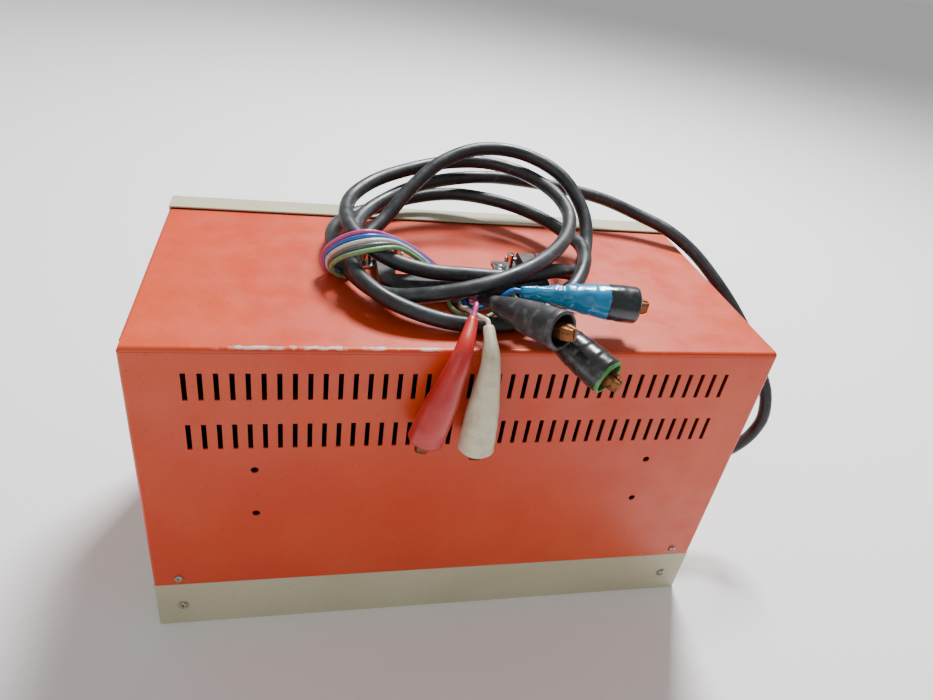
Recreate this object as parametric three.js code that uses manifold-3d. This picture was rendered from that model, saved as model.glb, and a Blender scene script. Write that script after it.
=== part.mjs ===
// An older cabinet-type stick (arc) welding power source: a vermilion sheet-steel case on a cream base
// tray, a folding carrying handle on top, and a five-core supply lead that lies coiled over the handle
// and ends in five insulated crocodile clips.
//
// Units are millimetres, +Z is up. The origin is the middle of the underside of the base tray.
// -Y is the vented back of the cabinet, +Y is the control panel, +X is the end with the cable gland.
import * as THREE from 'three';
import { mergeVertices } from 'three/addons/utils/BufferGeometryUtils.js';
import Module from 'manifold-3d';

const wasm = await Module();
wasm.setup();

// ---------------------------------------------------------------- driving dimensions
const GAP = 0.3; // air left between neighbouring pieces
const SHEET = 1.5; // steel sheet thickness
const HALF_W = 280; // half the cabinet's width, along X
const HALF_D = 127; // half the depth of the vermilion case, along Y
const BEZEL_D = 28; // depth of the cream front frame
const TOP = 331; // height of the top cover
const SKIRT = 58.5; // height of the cream base tray
const LIP = 4.2; // drop of the cover's lip over the back panel
const BEND = 3.5; // outside radius of a sheet bend
const BEZEL_RISE = 3; // the front frame stands this much proud of the cover
const FLANGE = 14; // depth of the back panel's side returns
const FRONT = HALF_D + GAP + BEZEL_D; // y of the front frame's face

const PANEL_FACE = FRONT - 2 - GAP; // y of the control panel's outer face
const PANEL_T = 2; // control panel thickness

const SLOT = { count: 40, pitch: 12.05, wide: 4, tall: 26.5, rows: [229.5, 281] };
const REAR_HOLE = { r: 3.4, x: 184.5, z: [151.5, 204.5] };
const REAR_SCREW = { x: 257, z: 67.5 };
const SKIRT_SCREW = { x: 256, z: 27.7 };

const PIVOT = { y: 22, z: TOP + 10.4 }; // axis of the folding handle
const ARM = { x: 72, wide: 15.4, r: 7 }; // handle arms
const GRIP = { near: -54, far: -26, low: TOP + 6.2, high: TOP + 17.4 };
const POST = { x: [57, 85.5], r: 3.6, top: TOP + 17 };

const GLAND = { y: -28, z: 110, bore: 10, tip: 318 };
const CABLE_R = 7; // radius of the lead's sheath
const CORE_R = 2.15; // radius of one insulated core
const CABLE_SHAPE = { sides: 10, steps: 76 };
const CORE_SHAPE = { sides: 8, steps: 34 };

const BOOT_R = 15.5; // radius of a clip's insulating boot at its mouth
const BOOT_CAVITY = 62; // depth of the boot's open end
const BOOT_STRAIGHT = BOOT_CAVITY + 1; // the boot bends only behind this depth
const BOOT_WALL = 2.2; // thickness of the boot at its mouth
const BOOT_SIDES = 11;
const JAW = { pivot: -28, tip: 11, tail: -54, half: 5.5 };

// ---------------------------------------------------------------- materials
const finish = (color, roughness, metalness) => new THREE.MeshStandardMaterial({ color, roughness, metalness });
const MAT = {
  vermilion: finish(0xd8431f, 0.42, 0.0),
  cream: finish(0xcfc7ab, 0.5, 0.0),
  zinc: finish(0xb9bbb8, 0.35, 0.9),
  chrome: finish(0xd9dadb, 0.15, 1.0),
  blackPlastic: finish(0x1d1e20, 0.5, 0.0),
  rubber: finish(0x26282b, 0.6, 0.0),
  steel: finish(0x84878a, 0.45, 0.8),
  laminations: finish(0x4b4a4c, 0.6, 0.5),
  copper: finish(0xa6603a, 0.4, 0.9),
  aluminium: finish(0xb4b7ba, 0.4, 0.85),
  bakelite: finish(0x3a2a22, 0.45, 0.0),
  redVinyl: finish(0xc23a34, 0.45, 0.0),
  whiteVinyl: finish(0xd9d2bd, 0.5, 0.0),
  blackVinyl: finish(0x2a2b2d, 0.5, 0.0),
  blueVinyl: finish(0x1a86bd, 0.35, 0.0),
  greenVinyl: finish(0x3f7a3c, 0.5, 0.0),
  pinkCore: finish(0xc9578a, 0.45, 0.0),
  greyCore: finish(0x55585a, 0.5, 0.0),
  greenCore: finish(0x6f9a63, 0.5, 0.0),
  amber: finish(0xe08a1a, 0.2, 0.0),
  green: finish(0x2e9a4a, 0.2, 0.0),
};

// ---------------------------------------------------------------- solids
function toSolid(geometry) {
  const bare = geometry.clone();
  for (const name of Object.keys(bare.attributes)) {
    if (name !== 'position') bare.deleteAttribute(name);
  }
  const merged = mergeVertices(bare, 1e-4);
  return new wasm.Manifold(new wasm.Mesh({
    numProp: 3,
    vertProperties: new Float32Array(merged.attributes.position.array),
    triVerts: new Uint32Array(merged.index.array),
  }));
}

function toGeometry(solid) {
  const mesh = solid.getMesh();
  const geometry = new THREE.BufferGeometry();
  geometry.setAttribute('position', new THREE.BufferAttribute(new Float32Array(mesh.vertProperties), 3));
  geometry.setIndex(new THREE.BufferAttribute(new Uint32Array(mesh.triVerts), 1));
  geometry.computeVertexNormals();
  return geometry;
}

const join = (...geometries) => toGeometry(geometries.map(toSolid).reduce((a, b) => a.add(b)));
const cut = (body, ...tools) => toGeometry(
  tools.length === 0 ? toSolid(body) : toSolid(body).subtract(tools.map(toSolid).reduce((a, b) => a.add(b))));

const sorted = (a, b) => [Math.min(a, b), Math.max(a, b)];

// A box given by its lowest and highest corner.
function block(x0, x1, y0, y1, z0, z1) {
  const geometry = new THREE.BoxGeometry(x1 - x0, y1 - y0, z1 - z0);
  return geometry.translate((x0 + x1) / 2, (y0 + y1) / 2, (z0 + z1) / 2);
}

// A solid of revolution from [radius, height] pairs, its axis turned to lie along x, y or z.
function turned(profile, axis = 'z', segments = 16) {
  const points = profile.map(([r, h]) => new THREE.Vector2(r, h));
  const geometry = new THREE.LatheGeometry(points, segments);
  if (axis === 'z') geometry.rotateX(Math.PI / 2);
  if (axis === 'x') geometry.rotateZ(-Math.PI / 2);
  return geometry;
}

// A plain cylinder from one station to another along an axis.
const rod = (r, from, to, axis = 'z', segments = 12) =>
  turned([[0, from], [r, from], [r, to], [0, to]], axis, segments);

// An outline in the XZ plane pushed along +Y.
function slab(shape, y0, y1, curveSegments = 8) {
  const geometry = new THREE.ExtrudeGeometry(shape, { depth: y1 - y0, bevelEnabled: false, curveSegments });
  return geometry.rotateX(Math.PI / 2).translate(0, y1, 0);
}

const polygon = (points) => new THREE.Shape(points.map(([a, b]) => new THREE.Vector2(a, b)));

// A rectangle about the origin with rounded corners, each corner an arc of a few chords.
function roundedRect(w, h, r, chords = 4) {
  const points = [];
  for (const [cx, cy, start] of [[1, -1, -0.5], [1, 1, 0], [-1, 1, 0.5], [-1, -1, 1]]) {
    for (let i = 0; i <= chords; i += 1) {
      const angle = (start + 0.5 * (i / chords)) * Math.PI;
      points.push([cx * (w / 2 - r) + r * Math.cos(angle), cy * (h / 2 - r) + r * Math.sin(angle)]);
    }
  }
  return polygon(points);
}

// ---------------------------------------------------------------- the scene graph
const welder = new THREE.Group();
function add(name, geometry, material, parent = welder) {
  const mesh = new THREE.Mesh(geometry, material);
  mesh.name = name;
  parent.add(mesh);
  return mesh;
}
const SIDES = [['left', -1], ['right', 1]];

// ---------------------------------------------------------------- case
// The cover is one sheet: the top and both ends, with a short lip folded down over the back panel.
function coverGeometry() {
  const outer = new THREE.Shape();
  const bottom = SKIRT + GAP;
  outer.moveTo(-HALF_W, bottom).lineTo(-HALF_W, TOP - BEND);
  outer.absarc(-HALF_W + BEND, TOP - BEND, BEND, Math.PI, Math.PI / 2, true);
  outer.absarc(HALF_W - BEND, TOP - BEND, BEND, Math.PI / 2, 0, true);
  outer.lineTo(HALF_W, bottom).lineTo(HALF_W - SHEET, bottom).lineTo(HALF_W - SHEET, TOP - BEND);
  outer.absarc(HALF_W - BEND, TOP - BEND, BEND - SHEET, 0, Math.PI / 2);
  outer.absarc(-HALF_W + BEND, TOP - BEND, BEND - SHEET, Math.PI / 2, Math.PI);
  outer.lineTo(-HALF_W + SHEET, bottom).closePath();
  const ends = slab(outer, -HALF_D + FLANGE + 0.5, HALF_D, 4);

  // The lip's section in the YZ plane, pushed along X.
  const lip = new THREE.Shape();
  lip.moveTo(-HALF_D + FLANGE + 2, TOP).lineTo(-HALF_D + BEND, TOP);
  lip.absarc(-HALF_D + BEND, TOP - BEND, BEND, Math.PI / 2, Math.PI);
  lip.lineTo(-HALF_D, TOP - LIP).lineTo(-HALF_D + SHEET, TOP - LIP).lineTo(-HALF_D + SHEET, TOP - BEND);
  lip.absarc(-HALF_D + BEND, TOP - BEND, BEND - SHEET, Math.PI, Math.PI / 2, true);
  lip.lineTo(-HALF_D + FLANGE + 2, TOP - SHEET).closePath();
  const lipOptions = { depth: 2 * HALF_W - 4, bevelEnabled: false, curveSegments: 4 };
  const front = new THREE.ExtrudeGeometry(lip, lipOptions);
  front.applyMatrix4(new THREE.Matrix4().makeBasis(
    new THREE.Vector3(0, 1, 0), new THREE.Vector3(0, 0, 1), new THREE.Vector3(1, 0, 0)));
  front.translate(-HALF_W + 2, 0, 0);

  const glandHole = rod(GLAND.bore + GAP, HALF_W - 8, HALF_W + 8, 'x').translate(0, GLAND.y, GLAND.z);
  return cut(join(ends, front), glandHole);
}

// The back panel is a shallow channel with two rows of cooling slots and four bracket holes.
function rearPanelGeometry() {
  const plan = new THREE.Shape();
  const back = -HALF_D;
  const inner = BEND - SHEET;
  plan.moveTo(-HALF_W, back + FLANGE).lineTo(-HALF_W, back + BEND);
  plan.absarc(-HALF_W + BEND, back + BEND, BEND, Math.PI, 1.5 * Math.PI);
  plan.absarc(HALF_W - BEND, back + BEND, BEND, -Math.PI / 2, 0);
  plan.lineTo(HALF_W, back + FLANGE).lineTo(HALF_W - SHEET, back + FLANGE).lineTo(HALF_W - SHEET, back + BEND);
  plan.absarc(HALF_W - BEND, back + BEND, inner, 0, -Math.PI / 2, true);
  plan.absarc(-HALF_W + BEND, back + BEND, inner, 1.5 * Math.PI, Math.PI, true);
  plan.lineTo(-HALF_W + SHEET, back + FLANGE).closePath();
  const low = SKIRT + GAP;
  const high = TOP - LIP - GAP;
  const channel = new THREE.ExtrudeGeometry(plan, { depth: high - low, bevelEnabled: false, curveSegments: 4 });
  channel.translate(0, 0, low);
  const stiffener = block(-HALF_W + 8, HALF_W - 8, back + SHEET / 2, back + FLANGE, high - SHEET, high);

  const tools = [];
  for (const z of SLOT.rows) {
    for (let i = 0; i < SLOT.count; i += 1) {
      const x = (i - (SLOT.count - 1) / 2) * SLOT.pitch;
      tools.push(block(x - SLOT.wide / 2, x + SLOT.wide / 2, back - 2, back + 4, z, z + SLOT.tall));
    }
  }
  for (const [, side] of SIDES) {
    for (const z of REAR_HOLE.z) {
      tools.push(rod(REAR_HOLE.r, back - 2, back + 4, 'y', 16).translate(side * REAR_HOLE.x, 0, z));
    }
    tools.push(rod(2.5, back - 2, back + 4, 'y', 12).translate(side * REAR_SCREW.x, 0, REAR_SCREW.z));
  }
  return cut(join(channel, stiffener), ...tools);
}

// The cream base tray: a floor with four upstanding walls.
function baseTrayGeometry() {
  const options = { bevelEnabled: false, curveSegments: 3 };
  const footprint = roundedRect(2 * HALF_W, 2 * HALF_D, 1.8);
  const outside = new THREE.ExtrudeGeometry(footprint, { ...options, depth: SKIRT });
  const inside = block(-HALF_W + SHEET, HALF_W - SHEET, -HALF_D + SHEET, HALF_D - SHEET, 2, SKIRT + 5);
  const holes = SIDES.map(([, side]) =>
    rod(2.5, -HALF_D - 2, -HALF_D + 4, 'y', 12).translate(side * SKIRT_SCREW.x, 0, SKIRT_SCREW.z));
  return cut(outside, inside, ...holes);
}

// The chassis carries the load: a floor plate, four angle posts and the beams under the handle.
function chassisGeometry() {
  const z0 = 2 + GAP;
  const reachX = HALF_W - 4;
  const reachY = HALF_D - SHEET - GAP;
  const parts = [block(-reachX, reachX, -reachY, reachY, z0, z0 + 2)];
  for (const [, sx] of SIDES) {
    const [xc, xd] = sorted(sx * (reachX - 2), sx * reachX);
    for (const [, sy] of SIDES) {
      const [xa, xb] = sorted(sx * (reachX - 30), sx * reachX);
      const [ya, yb] = sorted(sy * (reachY - 2), sy * reachY);
      parts.push(block(xa, xb, ya, yb, z0, TOP - 7));
      const [yc, yd] = sorted(sy * (reachY - 30), sy * reachY);
      parts.push(block(xc, xd, yc, yd, z0, TOP - 7));
    }
    const middle = sx * ARM.x;
    parts.push(block(middle - 12, middle + 12, -reachY, reachY, TOP - 10, TOP - 7));
    parts.push(block(xc, xd, -reachY, reachY, TOP - 20, TOP - 7));
  }
  for (const [, sy] of SIDES) {
    const [ya, yb] = sorted(sy * (reachY - 2), sy * reachY);
    parts.push(block(-reachX, reachX, ya, yb, TOP - 16, TOP - 7));
  }
  const holes = [];
  for (const [, side] of SIDES) {
    for (const screw of [REAR_SCREW, SKIRT_SCREW]) {
      holes.push(rod(2.3, -HALF_D, -HALF_D + 6, 'y', 12).translate(side * screw.x, 0, screw.z));
    }
  }
  return cut(join(...parts), ...holes);
}

// A domed screw whose head seats on the back of the cabinet.
function screwGeometry(headR, headH) {
  const seat = -HALF_D - GAP;
  return turned([[0, seat - headH], [headR * 0.55, seat - headH * 0.92], [headR * 0.9, seat - headH * 0.55],
    [headR, seat], [1.9, seat], [1.9, seat + 9], [0, seat + 9]], 'y', 16);
}

// The front frame is a folded cream surround, open at the back, around the control panel.
function frontBezelGeometry() {
  const back = HALF_D + GAP;
  const high = TOP + BEZEL_RISE;
  const wall = 2;
  return cut(
    block(-HALF_W, HALF_W, back, FRONT, 0, high),
    block(-HALF_W + wall, HALF_W - wall, back - 1, FRONT - wall, wall, high - wall),
    block(-HALF_W + 26, HALF_W - 26, back, FRONT + 1, 26, high - 26));
}

// ---------------------------------------------------------------- folding carrying handle
function bracketGeometry(side) {
  const z = TOP + GAP;
  const x = side * ARM.x;
  const [inner, outer] = sorted(side * (ARM.x - 31), side * (ARM.x + 18));
  const plate = block(inner, outer, PIVOT.y - 11, PIVOT.y + 11, z, z + 2.5);
  const posts = POST.x.map((px) => rod(POST.r, z + 1, POST.top, 'z', 16).translate(side * px, PIVOT.y, 0));
  const screw = turned([[0, z + 1], [4.2, z + 1], [4.2, z + 3.2], [2.6, z + 4.6], [0, z + 5]], 'z', 14)
    .translate(side * (ARM.x - 24), PIVOT.y, 0);
  const pinHole = rod(2.3, x - 40, x + 40, 'x', 14).translate(0, PIVOT.y, PIVOT.z);
  return cut(join(plate, ...posts, screw), pinHole);
}

function handleGeometry() {
  const parts = [];
  const holes = [];
  for (const [, side] of SIDES) {
    const x = side * ARM.x;
    // Arm outline in the YZ plane: a round eye about the pivot, then a bar to the grip.
    const arm = new THREE.Shape();
    arm.moveTo(GRIP.near + 8, GRIP.low).lineTo(PIVOT.y - 6, GRIP.low - 2);
    arm.absarc(PIVOT.y, PIVOT.z, ARM.r, -2.1, Math.PI / 2);
    arm.lineTo(GRIP.near + 8, GRIP.high).closePath();
    const bar = new THREE.ExtrudeGeometry(arm, { depth: ARM.wide, bevelEnabled: false, curveSegments: 8 });
    bar.applyMatrix4(new THREE.Matrix4().makeBasis(
      new THREE.Vector3(0, 1, 0), new THREE.Vector3(0, 0, 1), new THREE.Vector3(1, 0, 0)));
    parts.push(bar.translate(x - ARM.wide / 2, 0, 0));
    holes.push(rod(2.3, x - 20, x + 20, 'x', 14).translate(0, PIVOT.y, PIVOT.z));
  }
  // The grip's section in the YZ plane is a rounded bar.
  const section = roundedRect(GRIP.far - GRIP.near, GRIP.high - GRIP.low, 5);
  const length = 2 * ARM.x + ARM.wide;
  const grip = new THREE.ExtrudeGeometry(section, { depth: length, bevelEnabled: false, curveSegments: 4 });
  grip.applyMatrix4(new THREE.Matrix4().makeBasis(
    new THREE.Vector3(0, 1, 0), new THREE.Vector3(0, 0, 1), new THREE.Vector3(1, 0, 0)));
  grip.translate(-length / 2, (GRIP.near + GRIP.far) / 2, (GRIP.low + GRIP.high) / 2);
  const plan = new THREE.ExtrudeGeometry(roundedRect(length, 100, 18), { depth: 40, bevelEnabled: false });
  plan.translate(0, GRIP.near + 50, TOP);
  return cut(toGeometry(toSolid(join(...parts, grip)).intersect(toSolid(plan))), ...holes);
}

function pinGeometry(side) {
  const pin = turned([[0, -19.4], [3.4, -19.4], [3.4, -18.2], [2, -18.2], [2, 19.2], [0, 19.2]], 'x', 14);
  if (side < 0) pin.rotateZ(Math.PI);
  return pin.translate(side * (ARM.x - 0.75), PIVOT.y, PIVOT.z);
}

// ---------------------------------------------------------------- controls on the front panel
const METER = { x: 150, z: 236, r: 34 };
const SWITCH = { x: 160, z: 118 };
const DIAL = { x: -70, z: 205, r: 58, thick: 1.6 };
const SHAFT_HOLE = 6.5; // radius of the holes for shafts and lamps
const LAMPS = [['power_lamp', 70, MAT.green], ['overheat_lamp', 40, MAT.amber]];
const LAMP_Z = 262;
const SOCKETS = [['output_socket_negative', -40], ['output_socket_positive', -180]];
const SOCKET_Z = 80;

function frontPanelGeometry() {
  const [y0, y1] = [PANEL_FACE - PANEL_T, PANEL_FACE];
  const hole = (r, x, z) => rod(r, y0 - 2, y1 + 2, 'y', 16).translate(x, 0, z);
  return cut(
    block(-HALF_W + 2.4, HALF_W - 2.4, y0, y1, 2.4, TOP + BEZEL_RISE - 2.4),
    hole(METER.r + 0.5, METER.x, METER.z),
    hole(SHAFT_HOLE, SWITCH.x, SWITCH.z),
    hole(SHAFT_HOLE, DIAL.x, DIAL.z),
    ...LAMPS.map(([, x]) => hole(SHAFT_HOLE, x, LAMP_Z)),
    ...SOCKETS.map(([, x]) => hole(14.5, x, SOCKET_Z)));
}

const FACE = PANEL_FACE + GAP; // where a surface-mounted piece sits

function ammeterGeometry() {
  const housing = block(-45, 45, FACE, FACE + 11, -39, 39);
  const can = rod(METER.r, FACE - 44, FACE + 1, 'y', 16);
  const window = block(-37, 37, FACE + 9, FACE + 13, -14, 32);
  return cut(join(housing, can), window).translate(METER.x, 0, METER.z);
}

function dialGeometry() {
  const disc = rod(DIAL.r, FACE, FACE + DIAL.thick, 'y', 28);
  return cut(disc, rod(SHAFT_HOLE, FACE - 2, FACE + 4, 'y', 16)).translate(DIAL.x, 0, DIAL.z);
}

function currentKnobGeometry() {
  const y = FACE + DIAL.thick + GAP;
  const body = turned([[0, y - 28], [5.8, y - 28], [5.8, y], [34, y], [36, y + 3], [34, y + 8], [22, y + 12],
    [20, y + 27], [18, y + 29], [0, y + 29]], 'y', 24);
  const pointer = block(-1.6, 1.6, y, y + 5, 30, 44);
  return join(body, pointer).translate(DIAL.x, 0, DIAL.z);
}

function switchPlateGeometry() {
  return cut(block(-34, 34, FACE, FACE + 2.5, -34, 34), rod(6.5, FACE - 2, FACE + 5, 'y', 16))
    .translate(SWITCH.x, 0, SWITCH.z);
}

function switchKnobGeometry() {
  const y = FACE + 2.5 + GAP;
  const profile = [[0, y - 30], [5.8, y - 30], [5.8, y], [22, y], [22, y + 7], [20, y + 9], [0, y + 9]];
  const body = turned(profile, 'y', 16);
  const lever = block(-6, 6, y + 5, y + 27, -24, 26);
  return join(body, lever).translate(SWITCH.x, 0, SWITCH.z);
}

// The cam switch's contact stack behind the panel, bored for the knob's shaft.
function switchBodyGeometry() {
  const y1 = PANEL_FACE - PANEL_T - GAP;
  return cut(block(-30, 30, y1 - 70, y1, -30, 30), rod(6.3, y1 - 26.5, y1 + 2, 'y', 16))
    .translate(SWITCH.x, 0, SWITCH.z);
}

function socketGeometry(x) {
  const outside = [[0, FACE - 46], [6, FACE - 46], [6, FACE - 14], [14, FACE - 14], [14, FACE], [25, FACE],
    [25, FACE + 4], [20, FACE + 6], [19, FACE + 18]];
  const bore = [[10, FACE + 18], [10, FACE - 10], [0, FACE - 10]];
  return turned([...outside, ...bore], 'y', 18).translate(x, 0, SOCKET_Z);
}

const lampGeometry = (x) => turned([[0, FACE - 16], [6, FACE - 16], [6, FACE], [9, FACE], [9, FACE + 3],
  [7.5, FACE + 5], [5.5, FACE + 9], [0, FACE + 10.5]], 'y', 14).translate(x, 0, LAMP_Z);

// ---------------------------------------------------------------- inside the cabinet
const FLOOR = 4.3 + GAP; // top of the chassis plate, with its gap
const CORE = { x: -60, wide: 220, tall: 170, leg: 40, stack: 80 };

function transformerCoreGeometry() {
  const [w, h, d] = [CORE.wide / 2, CORE.tall / 2, CORE.stack / 2];
  const span = (CORE.wide - 3 * CORE.leg) / 2;
  const windows = [-1, 1].map((side) => {
    const x = side * (CORE.leg + span) / 2;
    return block(x - span / 2, x + span / 2, -d - 1, d + 1, CORE.leg - h, h - CORE.leg);
  });
  const feet = [-1, 1].map((side) => block(side * 85 - 22, side * 85 + 22, -62, 62, -h - 8, 4 - h));
  return join(cut(block(-w, w, -d, d, -h, h), ...windows), ...feet).translate(CORE.x, 0, FLOOR + 8 + h);
}

// A sleeve of a given height between two outlines.
function sleeveGeometry(outer, inner, height) {
  const options = { bevelEnabled: false, curveSegments: 4 };
  const pushed = (shape, depth) => new THREE.ExtrudeGeometry(shape, { ...options, depth });
  return cut(pushed(outer, height), pushed(inner, height + 4).translate(0, 0, -2));
}

// One winding around a leg of the core: a box-shaped sleeve with rounded corners.
function windingGeometry(offset) {
  const outer = roundedRect(CORE.leg + 46, CORE.stack + 46, 10);
  const inner = roundedRect(CORE.leg + 2, CORE.stack + 2, 0.8);
  const height = CORE.tall - 2 * CORE.leg - 2;
  const sleeve = sleeveGeometry(outer, inner, height);
  return sleeve.translate(CORE.x + offset, 0, FLOOR + 8 + CORE.leg + 1);
}

const REACTOR = { x: 137, y: -70, wide: 90, tall: 110, leg: 22, stack: 50 };

function reactorCoreGeometry() {
  const [w, h, d] = [REACTOR.wide / 2, REACTOR.tall / 2, REACTOR.stack / 2];
  const opening = block(REACTOR.leg - w, w - REACTOR.leg, -d - 1, d + 1, REACTOR.leg - h, h - REACTOR.leg);
  return cut(block(-w, w, -d, d, -h, h), opening).translate(REACTOR.x, REACTOR.y, FLOOR + h);
}

function reactorCoilGeometry() {
  const outer = roundedRect(REACTOR.leg + 30, REACTOR.stack + 30, 8);
  const inner = roundedRect(REACTOR.leg + 2, REACTOR.stack + 2, 0.8);
  const height = REACTOR.tall - 2 * REACTOR.leg - 2;
  const sleeve = sleeveGeometry(outer, inner, height);
  const leg = REACTOR.wide / 2 - REACTOR.leg / 2;
  return sleeve.translate(REACTOR.x - leg, REACTOR.y, FLOOR + REACTOR.leg + 1);
}

// The rectifier is a finned heat sink on edge, with a row of stud diodes through its base.
function rectifierGeometry() {
  const parts = [block(-50, 50, 0, 8, 0, 110)];
  for (let i = 0; i < 9; i += 1) {
    const x = -46 + i * 11.5;
    parts.push(block(x - 1.2, x + 1.2, 6, 46, 0, 110));
  }
  for (const x of [-30, 0, 30]) {
    parts.push(turned([[0, -22], [3, -22], [3, -12], [10, -12], [10, 2], [0, 2]], 'y', 12).translate(x, 0, 60));
  }
  return join(...parts).translate(185, 32, FLOOR);
}

const FAN = { x: 150, y: -92, z: 254, r: 54 };

// A square fan housing on four stand-offs that reach the back panel.
function fanFrameGeometry() {
  const [y0, y1] = [-17, 17];
  const ring = cut(block(-60, 60, y0, y1, -60, 60), rod(FAN.r + 3, y0 - 1, y1 + 1, 'y', 28));
  const struts = [block(-58, 58, y1 - 4, y1, -3, 3), block(-3, 3, y1 - 4, y1, -58, 58)];
  const motor = rod(21, y1 - 12, y1, 'y', 16);
  const reach = -HALF_D + SHEET + GAP - FAN.y;
  const studs = [[-53, -53], [53, -53], [-53, 53], [53, 53]].map(([x, z]) =>
    rod(4, reach, y0 + 2, 'y', 10).translate(x, 0, z));
  return join(ring, ...struts, motor, ...studs).translate(FAN.x, FAN.y, FAN.z);
}

function fanRotorGeometry() {
  const [y0, y1] = [-15, 4.5];
  const parts = [turned([[0, y0], [16, y0], [20, y0 + 3], [20, y1], [0, y1]], 'y', 16)];
  const blades = 7;
  for (let i = 0; i < blades; i += 1) {
    const blade = new THREE.BoxGeometry(36, 1.6, 22);
    blade.rotateX(THREE.MathUtils.degToRad(38)).translate(35, (y0 + y1) / 2, 0);
    parts.push(blade.rotateY((i / blades) * 2 * Math.PI));
  }
  return join(...parts).translate(FAN.x, FAN.y, FAN.z);
}

// The supply terminals: an insulating block with five brass studs, on a stand beside the gland.
function terminalBlockGeometry() {
  const height = GLAND.z - 70;
  const floor = FLOOR + GAP - height;
  const body = block(-16, 14, -46, 46, 0, 26);
  const stand = block(4, 6, -40, 40, floor, 4);
  const foot = block(-16, 6, -40, 40, floor, floor + 2);
  const studs = [-2, -1, 0, 1, 2].map((place) => rod(3.2, 24, 34, 'z', 12).translate(-2, place * 17, 0));
  return join(body, stand, foot, ...studs).translate(243, GLAND.y, height);
}

// ---------------------------------------------------------------- cable gland
function glandGeometry() {
  const x = HALF_W + GAP;
  const r = GLAND.bore - GAP;
  return turned([[0, x - 14], [r, x - 14], [r, x], [14, x], [14, x + 7], [11.5, x + 9], [10.5, x + 14],
    [8.2, GLAND.tip - GAP], [0, GLAND.tip - GAP]], 'x', 24).translate(0, GLAND.y, GLAND.z);
}

function glandNutGeometry() {
  const x1 = HALF_W - SHEET - GAP;
  const hex = turned([[0, x1 - 5], [15, x1 - 5], [15, x1], [0, x1]], 'x', 6);
  return cut(hex, rod(GLAND.bore, x1 - 8, x1 + 4, 'x', 24)).translate(0, GLAND.y, GLAND.z);
}

// ---------------------------------------------------------------- the supply lead
const vectors = (points) => points.map(([x, y, z]) => new THREE.Vector3(x, y, z));

// A round cord along a smooth curve through its route points.
function cordGeometry(points, radius, { sides, steps }) {
  const section = new THREE.Shape();
  for (let i = 0; i < sides; i += 1) {
    const angle = (i / sides) * 2 * Math.PI;
    section[i === 0 ? 'moveTo' : 'lineTo'](radius * Math.cos(angle), radius * Math.sin(angle));
  }
  section.closePath();
  const extrudePath = new THREE.CatmullRomCurve3(vectors(points));
  return new THREE.ExtrudeGeometry(section, { steps, bevelEnabled: false, extrudePath });
}

// The lead leaves the gland, climbs over the right-hand edge and lies in three and a half loose turns.
const LEAD = [
  [318, -28, 110], [330, -28, 110], [345, -28, 113], [359, -28, 120], [371, -28, 130],
  [380, -28, 142], [386.5, -27, 155], [389.5, -26, 169], [389, -23, 184], [385, -17, 203],
  [375, -7, 225], [365.5, 4.5, 245], [353, 18, 265],
  [337, 34, 287], [315, 54, 311.5], [291, 77, 333.5], [267, 101, 347], [236, 124, 355], [195, 141, 365],
  [150, 150, 371],
  [104, 155, 375], [58, 155, 377], [13, 147, 375], [-29, 128, 371], [-65, 99, 365], [-91, 62, 361],
  [-101, 18, 359], [-103, -24, 356], [-96, -55, 355], [-74, -81, 350], [-38, -96, 343], [-2, -99, 339],
  [40, -92, 339], [88, -60, 346], [118, -19, 355], [131, 25, 357], [123, 70, 355], [99, 110, 356],
  [63, 137, 357], [19, 151, 356], [-26, 147, 351], [-67, 126, 346], [-103, 96, 345], [-118, 53, 347],
  [-115, 10, 347.5], [-101, -29, 345], [-77, -62, 345], [-40, -78, 355], [6, -78, 366], [47, -60, 373],
  [82, -27, 376], [107, 12, 379], [118, 50, 384], [113, 90, 389], [91, 127, 393], [53, 147, 396],
  [8, 146, 394], [-35, 131, 389], [-74, 107, 383], [-99, 74, 378], [-107, 34, 377], [-104, 4, 376],
  [-92, -19, 372], [-70, -35, 365], [-39, -42, 359], [-5, -43, 357], [42, -46, 357.5], [84, -30, 357],
  [120, 1, 342], [141, 37, 348.5], [146, 74, 373], [126, 107, 400], [86, 131, 414], [38, 134, 415],
  [-5, 119, 403], [-39, 95, 381], [-66, 69, 358], [-88, 45, 346], [-102, 21, 341],
];

// ---------------------------------------------------------------- the five cores
// The cores leave the sheath in a ring, spread into five lanes, cross over the coil, dive through the
// gap inside the handle and pass under its grip. Each station of the bundle is its middle and the step
// from one lane to the next.
const SPREAD = [[-106, 7, 334.6], [-4.5, 2.5, 0]];
const BUNDLE = [
  [[-112, -3, 333.9], [-4.3, 2.6, 0]], [[-118.5, -10, 337.5], [-3.4, 3.7, 0]],
  [[-123.5, -13, 345], [-2.4, 4.5, 0.6]], [[-124, -15, 353], [-1.4, 4.8, 1.4]],
  [[-120, -19, 361], [-0.5, 4.6, 2.2]], [[-112, -25, 370], [-0.3, 4.4, 2.4]],
  [[-103, -30, 376.5], [-0.2, 4.4, 2.6]], [[-93, -32, 380.2], [-0.8, 4.4, 2.3]],
  [[-82, -29, 380.2], [-1.4, 4.5, 1.7]], [[-69, -23, 376.5], [-1.8, 4.7, 0.6]],
  [[-53, -14, 366], [-1.5, 4.7, 0.8]], [[-38, -9, 354], [-0.4, 4.8, 0.6]],
  [[-25, -10, 343], [1.6, 4.7, -0.1]], [[-14.5, -18, 335.6], [4, 3.2, 0.1]],
  [[-9, -30, 334], [4.9, 0.8, 0]], [[-8, -41, 333.8], [4.9, 0, 0]],
];
const BOOT_ENTRY = 6; // straight length of core in front of each boot

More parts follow.
